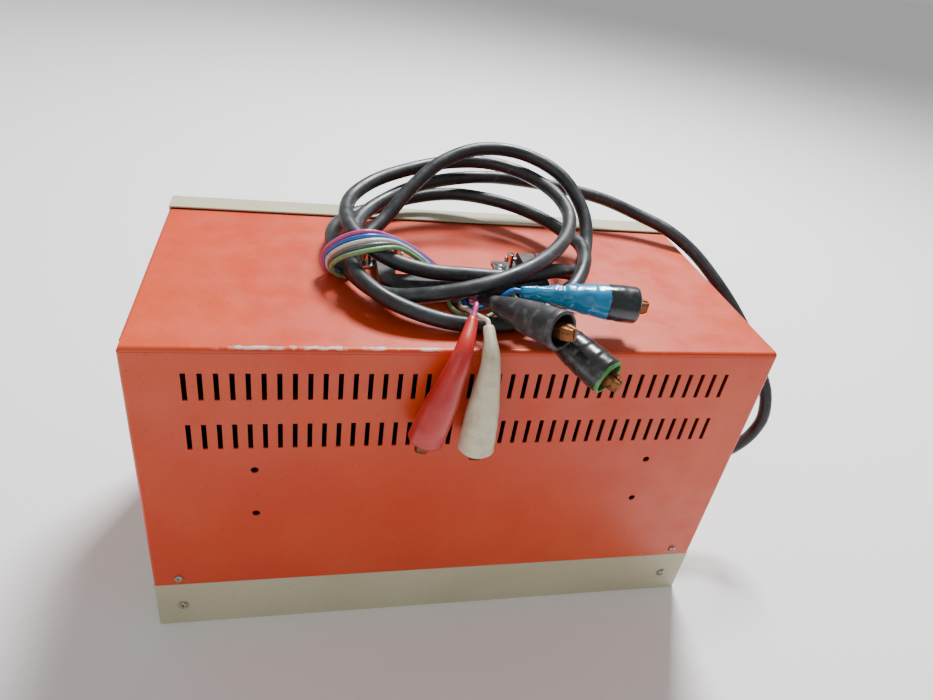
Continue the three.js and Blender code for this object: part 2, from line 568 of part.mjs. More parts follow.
// ring is the core's place in the sheath's end, lift is how high it lies where the lanes spread, and
// tail is its own route from under the grip to its boot. A boot runs from its small end to its mouth,
// entry is its direction at the small end, heading at the mouth, and hinge the axis of its jaws.
const CORES = [
  { name: 'pink', lane: 2, ring: [-3.8, 2.1, 1.4], lift: 1.6, material: MAT.pinkCore,
    tail: [[1.8, -52, 334.3], [1.4, -59, 337.3], [-1, -70, 344], [-3, -82, 350.5], [-3, -93, 355.7]],
    clip: { name: 'red', material: MAT.redVinyl, small: [-8, -107, 350], mouth: [-44, -147.5, 252],
      entry: [-9, -24, -11], heading: [-17, -6.5, -58], hinge: [1, 0, -0.29] } },
  { name: 'blue', lane: 1, ring: [-2.35, 1.3, -3.7], lift: -0.6, material: MAT.blueVinyl,
    tail: [[-3.1, -52, 333.8], [-2.5, -60, 333.8], [2, -68.5, 336.2], [9, -72, 340], [15.5, -77, 346.5],
      [19, -82, 354], [22.5, -86, 361.5]],
    clip: { name: 'blue', material: MAT.blueVinyl, small: [35, -88, 366.7], mouth: [137, -101, 363],
      entry: [102, -13, -3.7], heading: [102, -13, -3.7], hinge: [0, 0, 1] } },
  { name: 'white', lane: 0, ring: [0, -0.6, 4.5], lift: 1.6, material: MAT.whiteVinyl,
    tail: [[-8, -52, 333.8], [-8, -60, 334], [-8, -70, 338], [-8, -81, 344], [-7, -90, 347.4],
      [-5, -97, 348.8], [0, -104.5, 349.6]],
    clip: { name: 'white', material: MAT.whiteVinyl, small: [4, -115.6, 347.3], mouth: [2, -147.5, 243],
      entry: [0, -21, -10], heading: [-1.5, -5.5, -68], hinge: [1, 0, 0] } },
  { name: 'grey', lane: -1, ring: [2.35, -1.3, -3.7], lift: -0.6, material: MAT.greyCore,
    tail: [[-13, -52, 334], [-12.8, -57.5, 336.6], [-11, -61.5, 342], [-7.3, -63.5, 346.8],
      [-3, -66.3, 349.8]],
    clip: { name: 'black', material: MAT.blackVinyl, small: [4, -76, 352], mouth: [51, -157, 371],
      entry: [47, -81, 19], heading: [47, -81, 19], hinge: [0, 0, 1] } },
  { name: 'green', lane: -2, ring: [3.8, -2.1, 1.4], lift: 1.6, material: MAT.greenCore,
    tail: [[-17.8, -52, 333.8], [-16, -64, 333.6], [-8, -74, 333.6], [4, -79, 333.6], [15, -77, 334.5],
      [23.5, -71.5, 338.5], [28.3, -68.5, 346], [30.5, -70, 353.5], [32.3, -76, 357]],
    clip: { name: 'green', material: MAT.greenVinyl, small: [37.4, -86.8, 354.8], mouth: [95, -169, 334],
      entry: [57.6, -82.2, -20.8], heading: [57.6, -82.2, -20.8], hinge: [0, 0, 1] } },
];

function coreRoute({ lane, ring, lift, tail, clip }) {
  const shift = ([middle, step], up = 0) => middle.map((v, i) => v + lane * step[i] + (i === 2 ? up : 0));
  const [previous, end] = vectors(LEAD.slice(-2));
  const out = end.clone().sub(previous).normalize();
  const leave = (distance) => end.clone().addScaledVector(out, distance).toArray().map((v, i) => v + ring[i]);
  const small = new THREE.Vector3(...clip.small);
  const entry = new THREE.Vector3(...clip.entry).normalize();
  const before = (distance) => small.clone().addScaledVector(entry, -distance).toArray();
  return [...[GAP + 0.4, 5].map(leave), shift(SPREAD, lift), ...BUNDLE.map((station) => shift(station)),
    ...tail, before(BOOT_ENTRY), before(GAP)];
}

// ---------------------------------------------------------------- the five clips
// A boot's centre line: straight round the jaws, with a bend behind them if the clip hangs.
function bootAxis(clip) {
  const small = new THREE.Vector3(...clip.small);
  const mouth = new THREE.Vector3(...clip.mouth);
  const heading = new THREE.Vector3(...clip.heading).normalize();
  const entry = new THREE.Vector3(...clip.entry).normalize();
  const shoulder = mouth.clone().addScaledVector(heading, -BOOT_STRAIGHT);
  const reach = small.distanceTo(shoulder) / 2;
  const rear = new THREE.CubicBezierCurve3(small, small.clone().addScaledVector(entry, reach),
    shoulder.clone().addScaledVector(heading, -reach), shoulder);
  const rearLength = rear.getLength();
  return {
    length: rearLength + BOOT_STRAIGHT,
    at(depth) { // depth is measured back from the mouth
      if (depth <= BOOT_STRAIGHT) {
        return { point: mouth.clone().addScaledVector(heading, -depth), tangent: heading.clone() };
      }
      const u = Math.max(0, 1 - (depth - BOOT_STRAIGHT) / rearLength);
      return { point: rear.getPointAt(u), tangent: rear.getTangentAt(u) };
    },
  };
}

// The boot is a hollow cone of vinyl: the core enters its closed small end, the jaws fill its mouth.
function bootGeometry(clip) {
  const axis = bootAxis(clip);
  const end = axis.length;
  const [neck, body] = [{ r: 5.7, depth: end - 12 }, { r: BOOT_R * 0.74, depth: 58 }];
  const taper = [];
  const rings = 4;
  for (let i = 0; i <= rings; i += 1) {
    const u = i / rings;
    taper.push([neck.r + (body.r - neck.r) * u, neck.depth + (body.depth - neck.depth) * u]);
  }
  const tip = [[0, end], [4.2, end], [4.9, end - 2]];
  const outside = [...tip, ...taper, [BOOT_R * 0.9, 40], [BOOT_R, 15], [BOOT_R, 0]];
  const inner = BOOT_R - BOOT_WALL;
  const inside = [[inner, 0], [inner, 15], [11.7, 40], [9.6, 56], [8, BOOT_CAVITY], [0, BOOT_CAVITY]];
  const profile = [...outside, ...inside];
  const outline = profile.map(([r, depth]) => new THREE.Vector2(r, -depth));
  const geometry = new THREE.LatheGeometry(outline, BOOT_SIDES);
  const hinge = new THREE.Vector3(...clip.hinge);
  const position = geometry.attributes.position;
  for (let i = 0; i < position.count; i += 1) {
    const { point, tangent } = axis.at(-position.getY(i));
    const across = new THREE.Vector3().crossVectors(hinge, tangent).normalize();
    const along = new THREE.Vector3().crossVectors(across, tangent);
    point.addScaledVector(across, position.getX(i)).addScaledVector(along, position.getZ(i));
    position.setXYZ(i, point.x, point.y, point.z);
  }
  return geometry;
}

// Jaws are drawn with x out of the mouth, y the way they open and z along their hinge.
function placeJaw(geometry, clip) {
  const out = new THREE.Vector3(...clip.heading).normalize();
  const open = new THREE.Vector3().crossVectors(new THREE.Vector3(...clip.hinge), out).normalize();
  const hinge = new THREE.Vector3().crossVectors(out, open);
  const frame = new THREE.Matrix4().makeBasis(out, open, hinge).setPosition(new THREE.Vector3(...clip.mouth));
  return geometry.applyMatrix4(frame);
}

// An outline in the jaw's own plane, pushed both ways along the hinge axis.
const plate = (points, half) =>
  new THREE.ExtrudeGeometry(polygon(points), { depth: 2 * half, bevelEnabled: false }).translate(0, 0, -half);

const JAW_FRONT = [[-22, 0.4], [JAW.tip, 0.4], [JAW.tip, 3.2], [JAW.tip - 4, 5.6], [-6, 6.4], [-22, 5.4]];

function movingJawGeometry(clip) {
  const tail = [[-20, 1], [-20, 5.4], [-30, 4.2], [-40, 5.8],
    [JAW.tail, 8], [JAW.tail, 5.6], [-40, 3.4], [-33, 1.6]];
  const eye = rod(4, -3.9, 3.9, 'z', 12).translate(JAW.pivot, 0, 0);
  const bore = rod(1.9, -5, 5, 'z', 10).translate(JAW.pivot, 0, 0);
  return placeJaw(cut(join(plate(JAW_FRONT, JAW.half), plate(tail, 3.9), eye), bore), clip);
}

function fixedJawGeometry(clip) {
  const mirrored = JAW_FRONT.map(([s, t]) => [s, -t]).reverse();
  const tail = [[-20, -5.4], [-20, -3.4], [-22, -4.8], [-34, -4.8], [-40, -3.8],
    [JAW.tail, -5.6], [JAW.tail, -8], [-40, -6.6], [-30, -6.2]].reverse();
  const strap = block(-34, -20, -6.4, -4.9, -JAW.half, JAW.half);
  const parts = [plate(mirrored, JAW.half), plate(tail, 3.9), strap,
    rod(1.6, -JAW.half, JAW.half, 'z', 8).translate(JAW.pivot, 0, 0)];
  for (const face of [-1, 1]) {
    const [z0, z1] = sorted(face * 4.2, face * JAW.half);
    parts.push(block(JAW.pivot - 3.4, JAW.pivot + 3.4, -6, 0, z0, z1));
    parts.push(rod(3.4, z0, z1, 'z', 10).translate(JAW.pivot, 0, 0));
  }
  return placeJaw(join(...parts), clip);
}

// ---------------------------------------------------------------- assembly
add('base_tray', baseTrayGeometry(), MAT.cream);
add('chassis', chassisGeometry(), MAT.steel);
add('rear_panel', rearPanelGeometry(), MAT.vermilion);
add('cover', coverGeometry(), MAT.vermilion);
add('front_bezel', frontBezelGeometry(), MAT.cream);
add('front_panel', frontPanelGeometry(), MAT.cream);
for (const [name, side] of SIDES) {
  const rearScrew = screwGeometry(4, 2.4).translate(side * REAR_SCREW.x, 0, REAR_SCREW.z);
  const trayScrew = screwGeometry(4.9, 2.6).translate(side * SKIRT_SCREW.x, 0, SKIRT_SCREW.z);
  add(`rear_panel_screw_${name}`, rearScrew, MAT.zinc);
  add(`base_tray_screw_${name}`, trayScrew, MAT.zinc);
  add(`handle_bracket_${name}`, bracketGeometry(side), MAT.chrome);
  add(`handle_pin_${name}`, pinGeometry(side), MAT.steel);
}
add('handle', handleGeometry(), MAT.blackPlastic);

add('ammeter', ammeterGeometry(), MAT.blackPlastic);
add('switch_plate', switchPlateGeometry(), MAT.aluminium);
add('switch_knob', switchKnobGeometry(), MAT.blackPlastic);
add('switch_body', switchBodyGeometry(), MAT.bakelite);
add('current_dial', dialGeometry(), MAT.aluminium);
add('current_knob', currentKnobGeometry(), MAT.blackPlastic);
for (const [name, x, material] of LAMPS) add(name, lampGeometry(x), material);
for (const [name, x] of SOCKETS) add(name, socketGeometry(x), MAT.blackPlastic);

add('transformer_core', transformerCoreGeometry(), MAT.laminations);
for (let i = 0; i < 3; i += 1) add(`transformer_winding_${i + 1}`, windingGeometry((i - 1) * 90), MAT.copper);
add('reactor_core', reactorCoreGeometry(), MAT.laminations);
add('reactor_winding', reactorCoilGeometry(), MAT.copper);
add('rectifier', rectifierGeometry(), MAT.aluminium);
add('fan_frame', fanFrameGeometry(), MAT.blackPlastic);
add('fan_rotor', fanRotorGeometry(), MAT.blackPlastic);
add('terminal_block', terminalBlockGeometry(), MAT.bakelite);

add('cable_gland', glandGeometry(), MAT.rubber);
add('gland_nut', glandNutGeometry(), MAT.blackPlastic);
add('supply_cable', cordGeometry(LEAD, CABLE_R, CABLE_SHAPE), MAT.rubber);
for (const core of CORES) {
  const { clip } = core;
  add(`${core.name}_core`, cordGeometry(coreRoute(core), CORE_R, CORE_SHAPE), core.material);
  add(`${clip.name}_boot`, bootGeometry(clip), clip.material);
  add(`${clip.name}_fixed_jaw`, fixedJawGeometry(clip), MAT.copper);
  add(`${clip.name}_moving_jaw`, movingJawGeometry(clip), MAT.copper);
}

export default welder;
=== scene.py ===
"""An older cabinet-type stick welding power source, seen from its vented back.

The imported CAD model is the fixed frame. This script gives it its looks: the painted sheet metal with
its wear, the rubber lead with its five cores, the insulated clips and the controls on the front.
Units are metres, +Z is up and -Y is the vented back.
"""
import math

import bpy
from mathutils import Matrix, Vector, noise


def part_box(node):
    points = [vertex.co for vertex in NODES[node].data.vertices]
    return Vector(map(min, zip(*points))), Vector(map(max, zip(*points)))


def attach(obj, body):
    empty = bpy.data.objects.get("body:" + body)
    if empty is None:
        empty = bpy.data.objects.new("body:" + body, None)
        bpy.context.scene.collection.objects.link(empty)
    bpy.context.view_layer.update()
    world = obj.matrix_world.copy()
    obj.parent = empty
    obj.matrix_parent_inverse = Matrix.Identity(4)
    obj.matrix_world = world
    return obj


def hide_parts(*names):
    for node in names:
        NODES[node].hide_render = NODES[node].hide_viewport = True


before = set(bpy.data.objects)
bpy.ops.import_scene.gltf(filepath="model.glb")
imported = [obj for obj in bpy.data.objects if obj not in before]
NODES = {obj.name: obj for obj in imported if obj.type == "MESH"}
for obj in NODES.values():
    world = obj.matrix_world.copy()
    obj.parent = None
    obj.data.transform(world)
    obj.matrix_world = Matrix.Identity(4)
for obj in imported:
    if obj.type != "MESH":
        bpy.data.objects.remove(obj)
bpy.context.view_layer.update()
TAU = 2 * math.pi

# -------- camera
CAMERA_PLACE = Vector((-0.14606, -0.58886, 0.64544))
CAMERA_AZIMUTH = math.radians(-15.8677)
CAMERA_ELEVATION = math.radians(33.1371)
CAMERA_ROLL = math.radians(9.4234)
CAMERA_LENS = 27.04


def make_camera():
    """The camera stands close to the cabinet's back, left of its middle, and looks down on it."""
    data = bpy.data.cameras.new("camera")
    data.sensor_width = 36
    data.lens = CAMERA_LENS
    data.clip_start = 0.01
    camera = bpy.data.objects.new("camera", data)
    bpy.context.scene.collection.objects.link(camera)
    level = math.cos(CAMERA_ELEVATION)
    back = Vector((math.sin(CAMERA_AZIMUTH) * level, -math.cos(CAMERA_AZIMUTH) * level,
                   math.sin(CAMERA_ELEVATION)))
    right = (-back).cross(Vector((0, 0, 1))).normalized()
    up = right.cross(-back)
    turned_right = right * math.cos(CAMERA_ROLL) + up * math.sin(CAMERA_ROLL)
    turned_up = up * math.cos(CAMERA_ROLL) - right * math.sin(CAMERA_ROLL)
    axes = Matrix((turned_right, turned_up, back)).transposed()
    camera.matrix_world = Matrix.Translation(CAMERA_PLACE) @ axes.to_4x4()
    bpy.context.scene.camera = camera


make_camera()

# -------- routes of the cords
CABLE_R = 0.007
CORE_R = 0.00215
GAP = 0.0003
BOOT_ENTRY = 0.006

# The supply lead: out of the gland, over the right-hand edge and three and a half turns on the top.
LEAD_ROUTE = [
    (0.318, -0.028, 0.11), (0.33, -0.028, 0.11), (0.345, -0.028, 0.113), (0.359, -0.028, 0.12),
    (0.371, -0.028, 0.13), (0.38, -0.028, 0.142), (0.3865, -0.027, 0.155), (0.3895, -0.026, 0.169),
    (0.389, -0.023, 0.184), (0.385, -0.017, 0.203), (0.375, -0.007, 0.225), (0.3655, 0.0045, 0.245),
    (0.353, 0.018, 0.265), (0.337, 0.034, 0.287), (0.315, 0.054, 0.3115), (0.291, 0.077, 0.3335),
    (0.267, 0.101, 0.347), (0.236, 0.124, 0.355), (0.195, 0.141, 0.365), (0.15, 0.15, 0.371),
    (0.104, 0.155, 0.375), (0.058, 0.155, 0.377), (0.013, 0.147, 0.375), (-0.029, 0.128, 0.371),
    (-0.065, 0.099, 0.365), (-0.091, 0.062, 0.361), (-0.101, 0.018, 0.359), (-0.103, -0.024, 0.356),
    (-0.096, -0.055, 0.355), (-0.074, -0.081, 0.35), (-0.038, -0.096, 0.343), (-0.002, -0.099, 0.339),
    (0.04, -0.092, 0.339), (0.088, -0.06, 0.346), (0.118, -0.019, 0.355), (0.131, 0.025, 0.357),
    (0.123, 0.07, 0.355), (0.099, 0.11, 0.356), (0.063, 0.137, 0.357), (0.019, 0.151, 0.356),
    (-0.026, 0.147, 0.351), (-0.067, 0.126, 0.346), (-0.103, 0.096, 0.345), (-0.118, 0.053, 0.347),
    (-0.115, 0.01, 0.3475), (-0.101, -0.029, 0.345), (-0.077, -0.062, 0.345), (-0.04, -0.078, 0.355),
    (0.006, -0.078, 0.366), (0.047, -0.06, 0.373), (0.082, -0.027, 0.376), (0.107, 0.012, 0.379),
    (0.118, 0.05, 0.384), (0.113, 0.09, 0.389), (0.091, 0.127, 0.393), (0.053, 0.147, 0.396),
    (0.008, 0.146, 0.394), (-0.035, 0.131, 0.389), (-0.074, 0.107, 0.383), (-0.099, 0.074, 0.378),
    (-0.107, 0.034, 0.377), (-0.104, 0.004, 0.376), (-0.092, -0.019, 0.372), (-0.07, -0.035, 0.365),
    (-0.039, -0.042, 0.359), (-0.005, -0.043, 0.357), (0.042, -0.046, 0.3575), (0.084, -0.03, 0.357),
    (0.12, 0.001, 0.342), (0.141, 0.037, 0.3485), (0.146, 0.074, 0.373), (0.126, 0.107, 0.4),
    (0.086, 0.131, 0.414), (0.038, 0.134, 0.415), (-0.005, 0.119, 0.403), (-0.039, 0.095, 0.381),
    (-0.066, 0.069, 0.358), (-0.088, 0.045, 0.346), (-0.102, 0.021, 0.341),
]
# Where the cores leave the sheath they spread into lanes. Each station is the middle of the bundle and
# the step from one lane to the next.
SPREAD = ((-0.106, 0.007, 0.3346), (-0.0045, 0.0025, 0))
BUNDLE = [
    ((-0.112, -0.003, 0.3339), (-0.0043, 0.0026, 0)),
    ((-0.1185, -0.01, 0.3375), (-0.0034, 0.0037, 0)),
    ((-0.1235, -0.013, 0.345), (-0.0024, 0.0045, 0.0006)),
    ((-0.124, -0.015, 0.353), (-0.0014, 0.0048, 0.0014)),
    ((-0.12, -0.019, 0.361), (-0.0005, 0.0046, 0.0022)),
    ((-0.112, -0.025, 0.37), (-0.0003, 0.0044, 0.0024)),
    ((-0.103, -0.03, 0.3765), (-0.0002, 0.0044, 0.0026)),
    ((-0.093, -0.032, 0.3802), (-0.0008, 0.0044, 0.0023)),
    ((-0.082, -0.029, 0.3802), (-0.0014, 0.0045, 0.0017)),
    ((-0.069, -0.023, 0.3765), (-0.0018, 0.0047, 0.0006)),
    ((-0.053, -0.014, 0.366), (-0.0015, 0.0047, 0.0008)),
    ((-0.038, -0.009, 0.354), (-0.0004, 0.0048, 0.0006)),
    ((-0.025, -0.01, 0.343), (0.0016, 0.0047, -0.0001)),
    ((-0.0145, -0.018, 0.3356), (0.004, 0.0032, 0.0001)),
    ((-0.009, -0.03, 0.334), (0.0049, 0.0008, 0)),
    ((-0.008, -0.041, 0.3338), (0.0049, 0, 0)),
]

# Each core has its lane, its place in the sheath's end, its lift where the lanes spread and its own
# route to its clip. A clip's boot runs from its small end to its mouth.
CORES = [
    {"name": "pink", "lane": 2, "ring": (-0.0038, 0.0021, 0.0014), "lift": 0.0016,
     "tail": [(0.0018, -0.052, 0.3343), (0.0014, -0.059, 0.3373), (-0.001, -0.07, 0.344),
              (-0.003, -0.082, 0.3505), (-0.003, -0.093, 0.3557)],
     "clip": {"name": "red", "small": (-0.008, -0.107, 0.35), "mouth": (-0.044, -0.1475, 0.252),
              "entry": (-9, -24, -11), "heading": (-17, -6.5, -58), "hinge": (1, 0, -0.29)}},
    {"name": "blue", "lane": 1, "ring": (-0.00235, 0.0013, -0.0037), "lift": -0.0006,
     "tail": [(-0.0031, -0.052, 0.3338), (-0.0025, -0.06, 0.3338), (0.002, -0.0685, 0.3362),
              (0.009, -0.072, 0.34), (0.0155, -0.077, 0.3465), (0.019, -0.082, 0.354),
              (0.0225, -0.086, 0.3615)],
     "clip": {"name": "blue", "small": (0.035, -0.088, 0.3667), "mouth": (0.137, -0.101, 0.363),
              "entry": (102, -13, -3.7), "heading": (102, -13, -3.7), "hinge": (0, 0, 1)}},
    {"name": "white", "lane": 0, "ring": (0, -0.0006, 0.0045), "lift": 0.0016,
     "tail": [(-0.008, -0.052, 0.3338), (-0.008, -0.06, 0.334), (-0.008, -0.07, 0.338),
              (-0.008, -0.081, 0.344), (-0.007, -0.09, 0.3474), (-0.005, -0.097, 0.3488),
              (0, -0.1045, 0.3496)],
     "clip": {"name": "white", "small": (0.004, -0.1156, 0.3473), "mouth": (0.002, -0.1475, 0.243),
              "entry": (0, -21, -10), "heading": (-1.5, -5.5, -68), "hinge": (1, 0, 0)}},
    {"name": "grey", "lane": -1, "ring": (0.00235, -0.0013, -0.0037), "lift": -0.0006,
     "tail": [(-0.013, -0.052, 0.334), (-0.0128, -0.0575, 0.3366), (-0.011, -0.0615, 0.342),
              (-0.0073, -0.0635, 0.3468), (-0.003, -0.0663, 0.3498)],
     "clip": {"name": "black", "small": (0.004, -0.076, 0.352), "mouth": (0.051, -0.157, 0.371),
              "entry": (47, -81, 19), "heading": (47, -81, 19), "hinge": (0, 0, 1)}},
    {"name": "green", "lane": -2, "ring": (0.0038, -0.0021, 0.0014), "lift": 0.0016,
     "tail": [(-0.0178, -0.052, 0.3338), (-0.016, -0.064, 0.3336), (-0.008, -0.074, 0.3336),
              (0.004, -0.079, 0.3336), (0.015, -0.077, 0.3345), (0.0235, -0.0715, 0.3385),
              (0.0283, -0.0685, 0.346), (0.0305, -0.07, 0.3535), (0.0323, -0.076, 0.357)],
     "clip": {"name": "green", "small": (0.0374, -0.0868, 0.3548), "mouth": (0.095, -0.169, 0.334),
              "entry": (57.6, -82.2, -20.8), "heading": (57.6, -82.2, -20.8), "hinge": (0, 0, 1)}},
]


def smooth_line(points, step):
    """A centripetal Catmull-Rom curve through the points, cut into stretches of about one step."""
    route = [Vector(p) for p in points]
    route = [route[0] * 2 - route[1], *route, route[-1] * 2 - route[-2]]
    line = []
    for a, b, c, d in zip(route, route[1:], route[2:], route[3:]):
        before, here, after = ((q - p).length ** 0.5 for p, q in ((a, b), (b, c), (c, d)))
        leave = ((b - a) / before - (c - a) / (before + here) + (c - b) / here) * here
        arrive = ((c - b) / here - (d - b) / (here + after) + (d - c) / after) * here
        count = max(2, round((c - b).length / step))
        for i in range(count):
            t = i / count
            line.append(b + leave * t + (3 * (c - b) - 2 * leave - arrive) * t ** 2
                        + (2 * (b - c) + leave + arrive) * t ** 3)
    line.append(route[-2])
    return line


def core_route(core):
    """A core's points: out of the sheath, along its lane of the bundle and down its own tail."""
    lane, ring = core["lane"], Vector(core["ring"])
    end = Vector(LEAD_ROUTE[-1])
    out = (end - Vector(LEAD_ROUTE[-2])).normalized()
    route = [end + out * distance + ring for distance in (GAP + 0.0004, 0.005)]
    middle, step = SPREAD
    route.append(Vector(middle) + lane * Vector(step) + Vector((0, 0, core["lift"])))
    route += [Vector(middle) + lane * Vector(step) for middle, step in BUNDLE]
    route += [Vector(p) for p in core["tail"]]
    small, entry = Vector(core["clip"]["small"]), Vector(core["clip"]["entry"]).normalized()
    route += [small - entry * distance for distance in (BOOT_ENTRY, GAP)]
    return route


# -------- mesh helpers
def new_piece(name, vertices, faces, body, material, smooth=True, attributes=None):
    """A mesh piece that rides on a CAD body. attributes are point values for its material."""
    mesh = bpy.data.meshes.new(name)
    mesh.from_pydata([tuple(v) for v in vertices], [], faces)
    mesh.update()
    for face in mesh.polygons:
        face.use_smooth = smooth
    for key, values in (attributes or {}).items():
        mesh.attributes.new(key, "FLOAT", "POINT").data.foreach_set("value", values)
    piece = bpy.data.objects.new(name, mesh)
    bpy.context.scene.collection.objects.link(piece)
    mesh.materials.append(material)
    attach(piece, body)
    return piece


def closed_rings(count, sides, capped=True):
    """Faces that join rings of points, with a fan at each end round an extra end point."""
    faces = []
    for i in range(count - 1):
        for j in range(sides):
            k = (j + 1) % sides
            faces.append((i * sides + j, i * sides + k, (i + 1) * sides + k, (i + 1) * sides + j))
    if capped:
        first, last = count * sides, count * sides + 1
        for j in range(sides):
            k = (j + 1) % sides
            faces.append((first, k, j))
            faces.append((last, (count - 1) * sides + j, (count - 1) * sides + k))
    return faces


def frames_along(line):
    """A steady sideways direction and its partner at every point of a line."""
    tangents = []
    for i in range(len(line)):
        tangents.append((line[min(i + 1, len(line) - 1)] - line[max(i - 1, 0)]).normalized())
    side = tangents[0].orthogonal().normalized()
    made = []
    for tangent in tangents:
        side = (side - tangent * side.dot(tangent)).normalized()
        made.append((side, tangent.cross(side)))
    return made


def tube_piece(name, line, radius, sides, body, material):
    """A round cord along a line. Its material can read how far along each point is."""
    vertices, along = [], []
    travelled = 0.0
    for i, (point, (side, other)) in enumerate(zip(line, frames_along(line))):
        if i:
            travelled += (point - line[i - 1]).length
        for j in range(sides):
            angle = TAU * j / sides
            vertices.append(point + (side * math.cos(angle) + other * math.sin(angle)) * radius)
            along.append(travelled)
    vertices += [line[0], line[-1]]
    along += [0.0, travelled]
    faces = closed_rings(len(line), sides)
    return new_piece(name, vertices, faces, body, material, attributes={"along": along})


def turned_piece(name, profile, axis, centre, sides, body, material, smooth=True):
    """A solid of revolution from (radius, height) pairs that start and end on the axis."""
    along = Vector(axis).normalized()
    side = along.orthogonal().normalized()
    other = along.cross(side)
    vertices = []
    for radius, height in profile[1:-1]:
        for j in range(sides):
            angle = TAU * j / sides
            around = side * math.cos(angle) + other * math.sin(angle)
            vertices.append(Vector(centre) + along * height + around * radius)
    vertices += [Vector(centre) + along * profile[0][1], Vector(centre) + along * profile[-1][1]]
    faces = closed_rings(len(profile) - 2, sides)
    return new_piece(name, vertices, faces, body, material, smooth)


def merged(parts):
    """The vertices and faces of several closed parts as one list of each."""
    vertices, faces = [], []
    for corners, sides in parts:
        faces += [tuple(len(vertices) + i for i in side) for side in sides]
        vertices += corners
    return vertices, faces


def round_edges(piece, width):
    """A small two-step bevel on a piece that this script made."""
    edge = piece.modifiers.new("edge", "BEVEL")
    edge.width = width
    edge.segments = 2


def box_middle(node):
    """The middle of a CAD node's box."""
    low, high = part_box(node)
    return (low + high) / 2


def soften(node, width, material, segments=2, limit=30):
    """A CAD node keeps its shape and gets rounded edges, even shading and its material."""
    piece = NODES[node]
    for face in piece.data.polygons:
        face.use_smooth = True
    weld = piece.modifiers.new("weld", "WELD")
    weld.merge_threshold = 0.00001
    bevel = piece.modifiers.new("bevel", "BEVEL")
    bevel.width = width
    bevel.segments = segments
    bevel.limit_method = "ANGLE"
    bevel.angle_limit = math.radians(limit)
    shading = piece.modifiers.new("shading", "WEIGHTED_NORMAL")
    shading.keep_sharp = True
    piece.data.materials.clear()
    piece.data.materials.append(material)
    return piece


# -------- material helpers
class Shader:
    """Builds one procedural material. Textures are placed in the row frame, in metres."""

    def __init__(self, name, **sockets):
        self.material = bpy.data.materials.new(name)
        self.material.use_nodes = True
        self.tree = self.material.node_tree
        self.surface = self.tree.nodes["Principled BSDF"]
        self.place = self.node("ShaderNodeTexCoord").outputs["Object"]
        for key, value in sockets.items():
            self.surface.inputs[key.replace("_", " ")].default_value = value

    def node(self, kind, inputs=None, **settings):
        made = self.tree.nodes.new(kind)
        for key, value in settings.items():
            setattr(made, key, value)
        for key, value in (inputs or {}).items():
            self.feed(made.inputs[key], value)
        return made

    def feed(self, socket, value):
        if isinstance(value, bpy.types.NodeSocket):
            self.tree.links.new(value, socket)
        else:
            socket.default_value = value

    def set(self, key, value):
        self.feed(self.surface.inputs[key], value)

    def rough(self, scale, detail, low, high, top=0.7):
        """Roughness that wanders from low to high."""
        self.set("Roughness", self.between(self.noise(scale, detail), 0.3, top, low, high))

    def stretched(self, scale, turn=(0, 0, 0)):
        inputs = {"Vector": self.place, "Scale": scale, "Rotation": turn}
        return self.node("ShaderNodeMapping", inputs).outputs[0]

    def noise(self, scale, detail=3.0, roughness=0.55, place=None, distortion=0.0):
        made = self.node("ShaderNodeTexNoise", {"Vector": place or self.place, "Scale": scale,
                         "Detail": detail, "Roughness": roughness, "Distortion": distortion})
        return made.outputs["Fac"]

    def spots(self, scale, place=None):
        made = self.node("ShaderNodeTexVoronoi", {"Vector": place or self.place, "Scale": scale})
        return made.outputs["Distance"]

    def between(self, value, low, high, start=0.0, end=1.0):
        """value from low to high becomes start to end, smoothly and held at both ends."""
        made = self.node("ShaderNodeMapRange", {"Value": value, "From Min": low, "From Max": high,
                         "To Min": start, "To Max": end}, interpolation_type="SMOOTHSTEP")
        return made.outputs["Result"]

    def math(self, operation, a, b=0.0):
        return self.node("ShaderNodeMath", {0: a, 1: b}, operation=operation).outputs[0]

    def times(self, a, b):
        return self.math("MULTIPLY", a, b)

    def mix(self, share, a, b):
        made = self.node("ShaderNodeMix", data_type="RGBA")
        self.feed(made.inputs["Factor"], share)
        self.feed(made.inputs[6], a)
        self.feed(made.inputs[7], b)
        return made.outputs[2]

    def axis(self, name):
        """One coordinate of the point, or of the surface's normal when name starts with n."""
        source = self.place
        if name.startswith("n"):
            source = self.node("ShaderNodeNewGeometry").outputs["Normal"]
        return self.node("ShaderNodeSeparateXYZ", {0: source}).outputs[name[-1].upper()]

    def value(self, name):
        return self.node("ShaderNodeAttribute", attribute_name=name).outputs["Fac"]

    def bump(self, height, distance, strength=1.0, normal=None):
        made = self.node("ShaderNodeBump", {"Height": height, "Distance": distance, "Strength": strength})
        if normal is not None:
            self.feed(made.inputs["Normal"], normal)
        return made.outputs["Normal"]


def linear(red, green, blue):
    """A colour given as the eye sees it, 0 to 255, as the shader wants it."""
    channels = []
    for value in (red, green, blue):
        share = value / 255
        channels.append(share / 12.92 if share <= 0.04045 else ((share + 0.055) / 1.055) ** 2.4)
    return (*channels, 1.0)


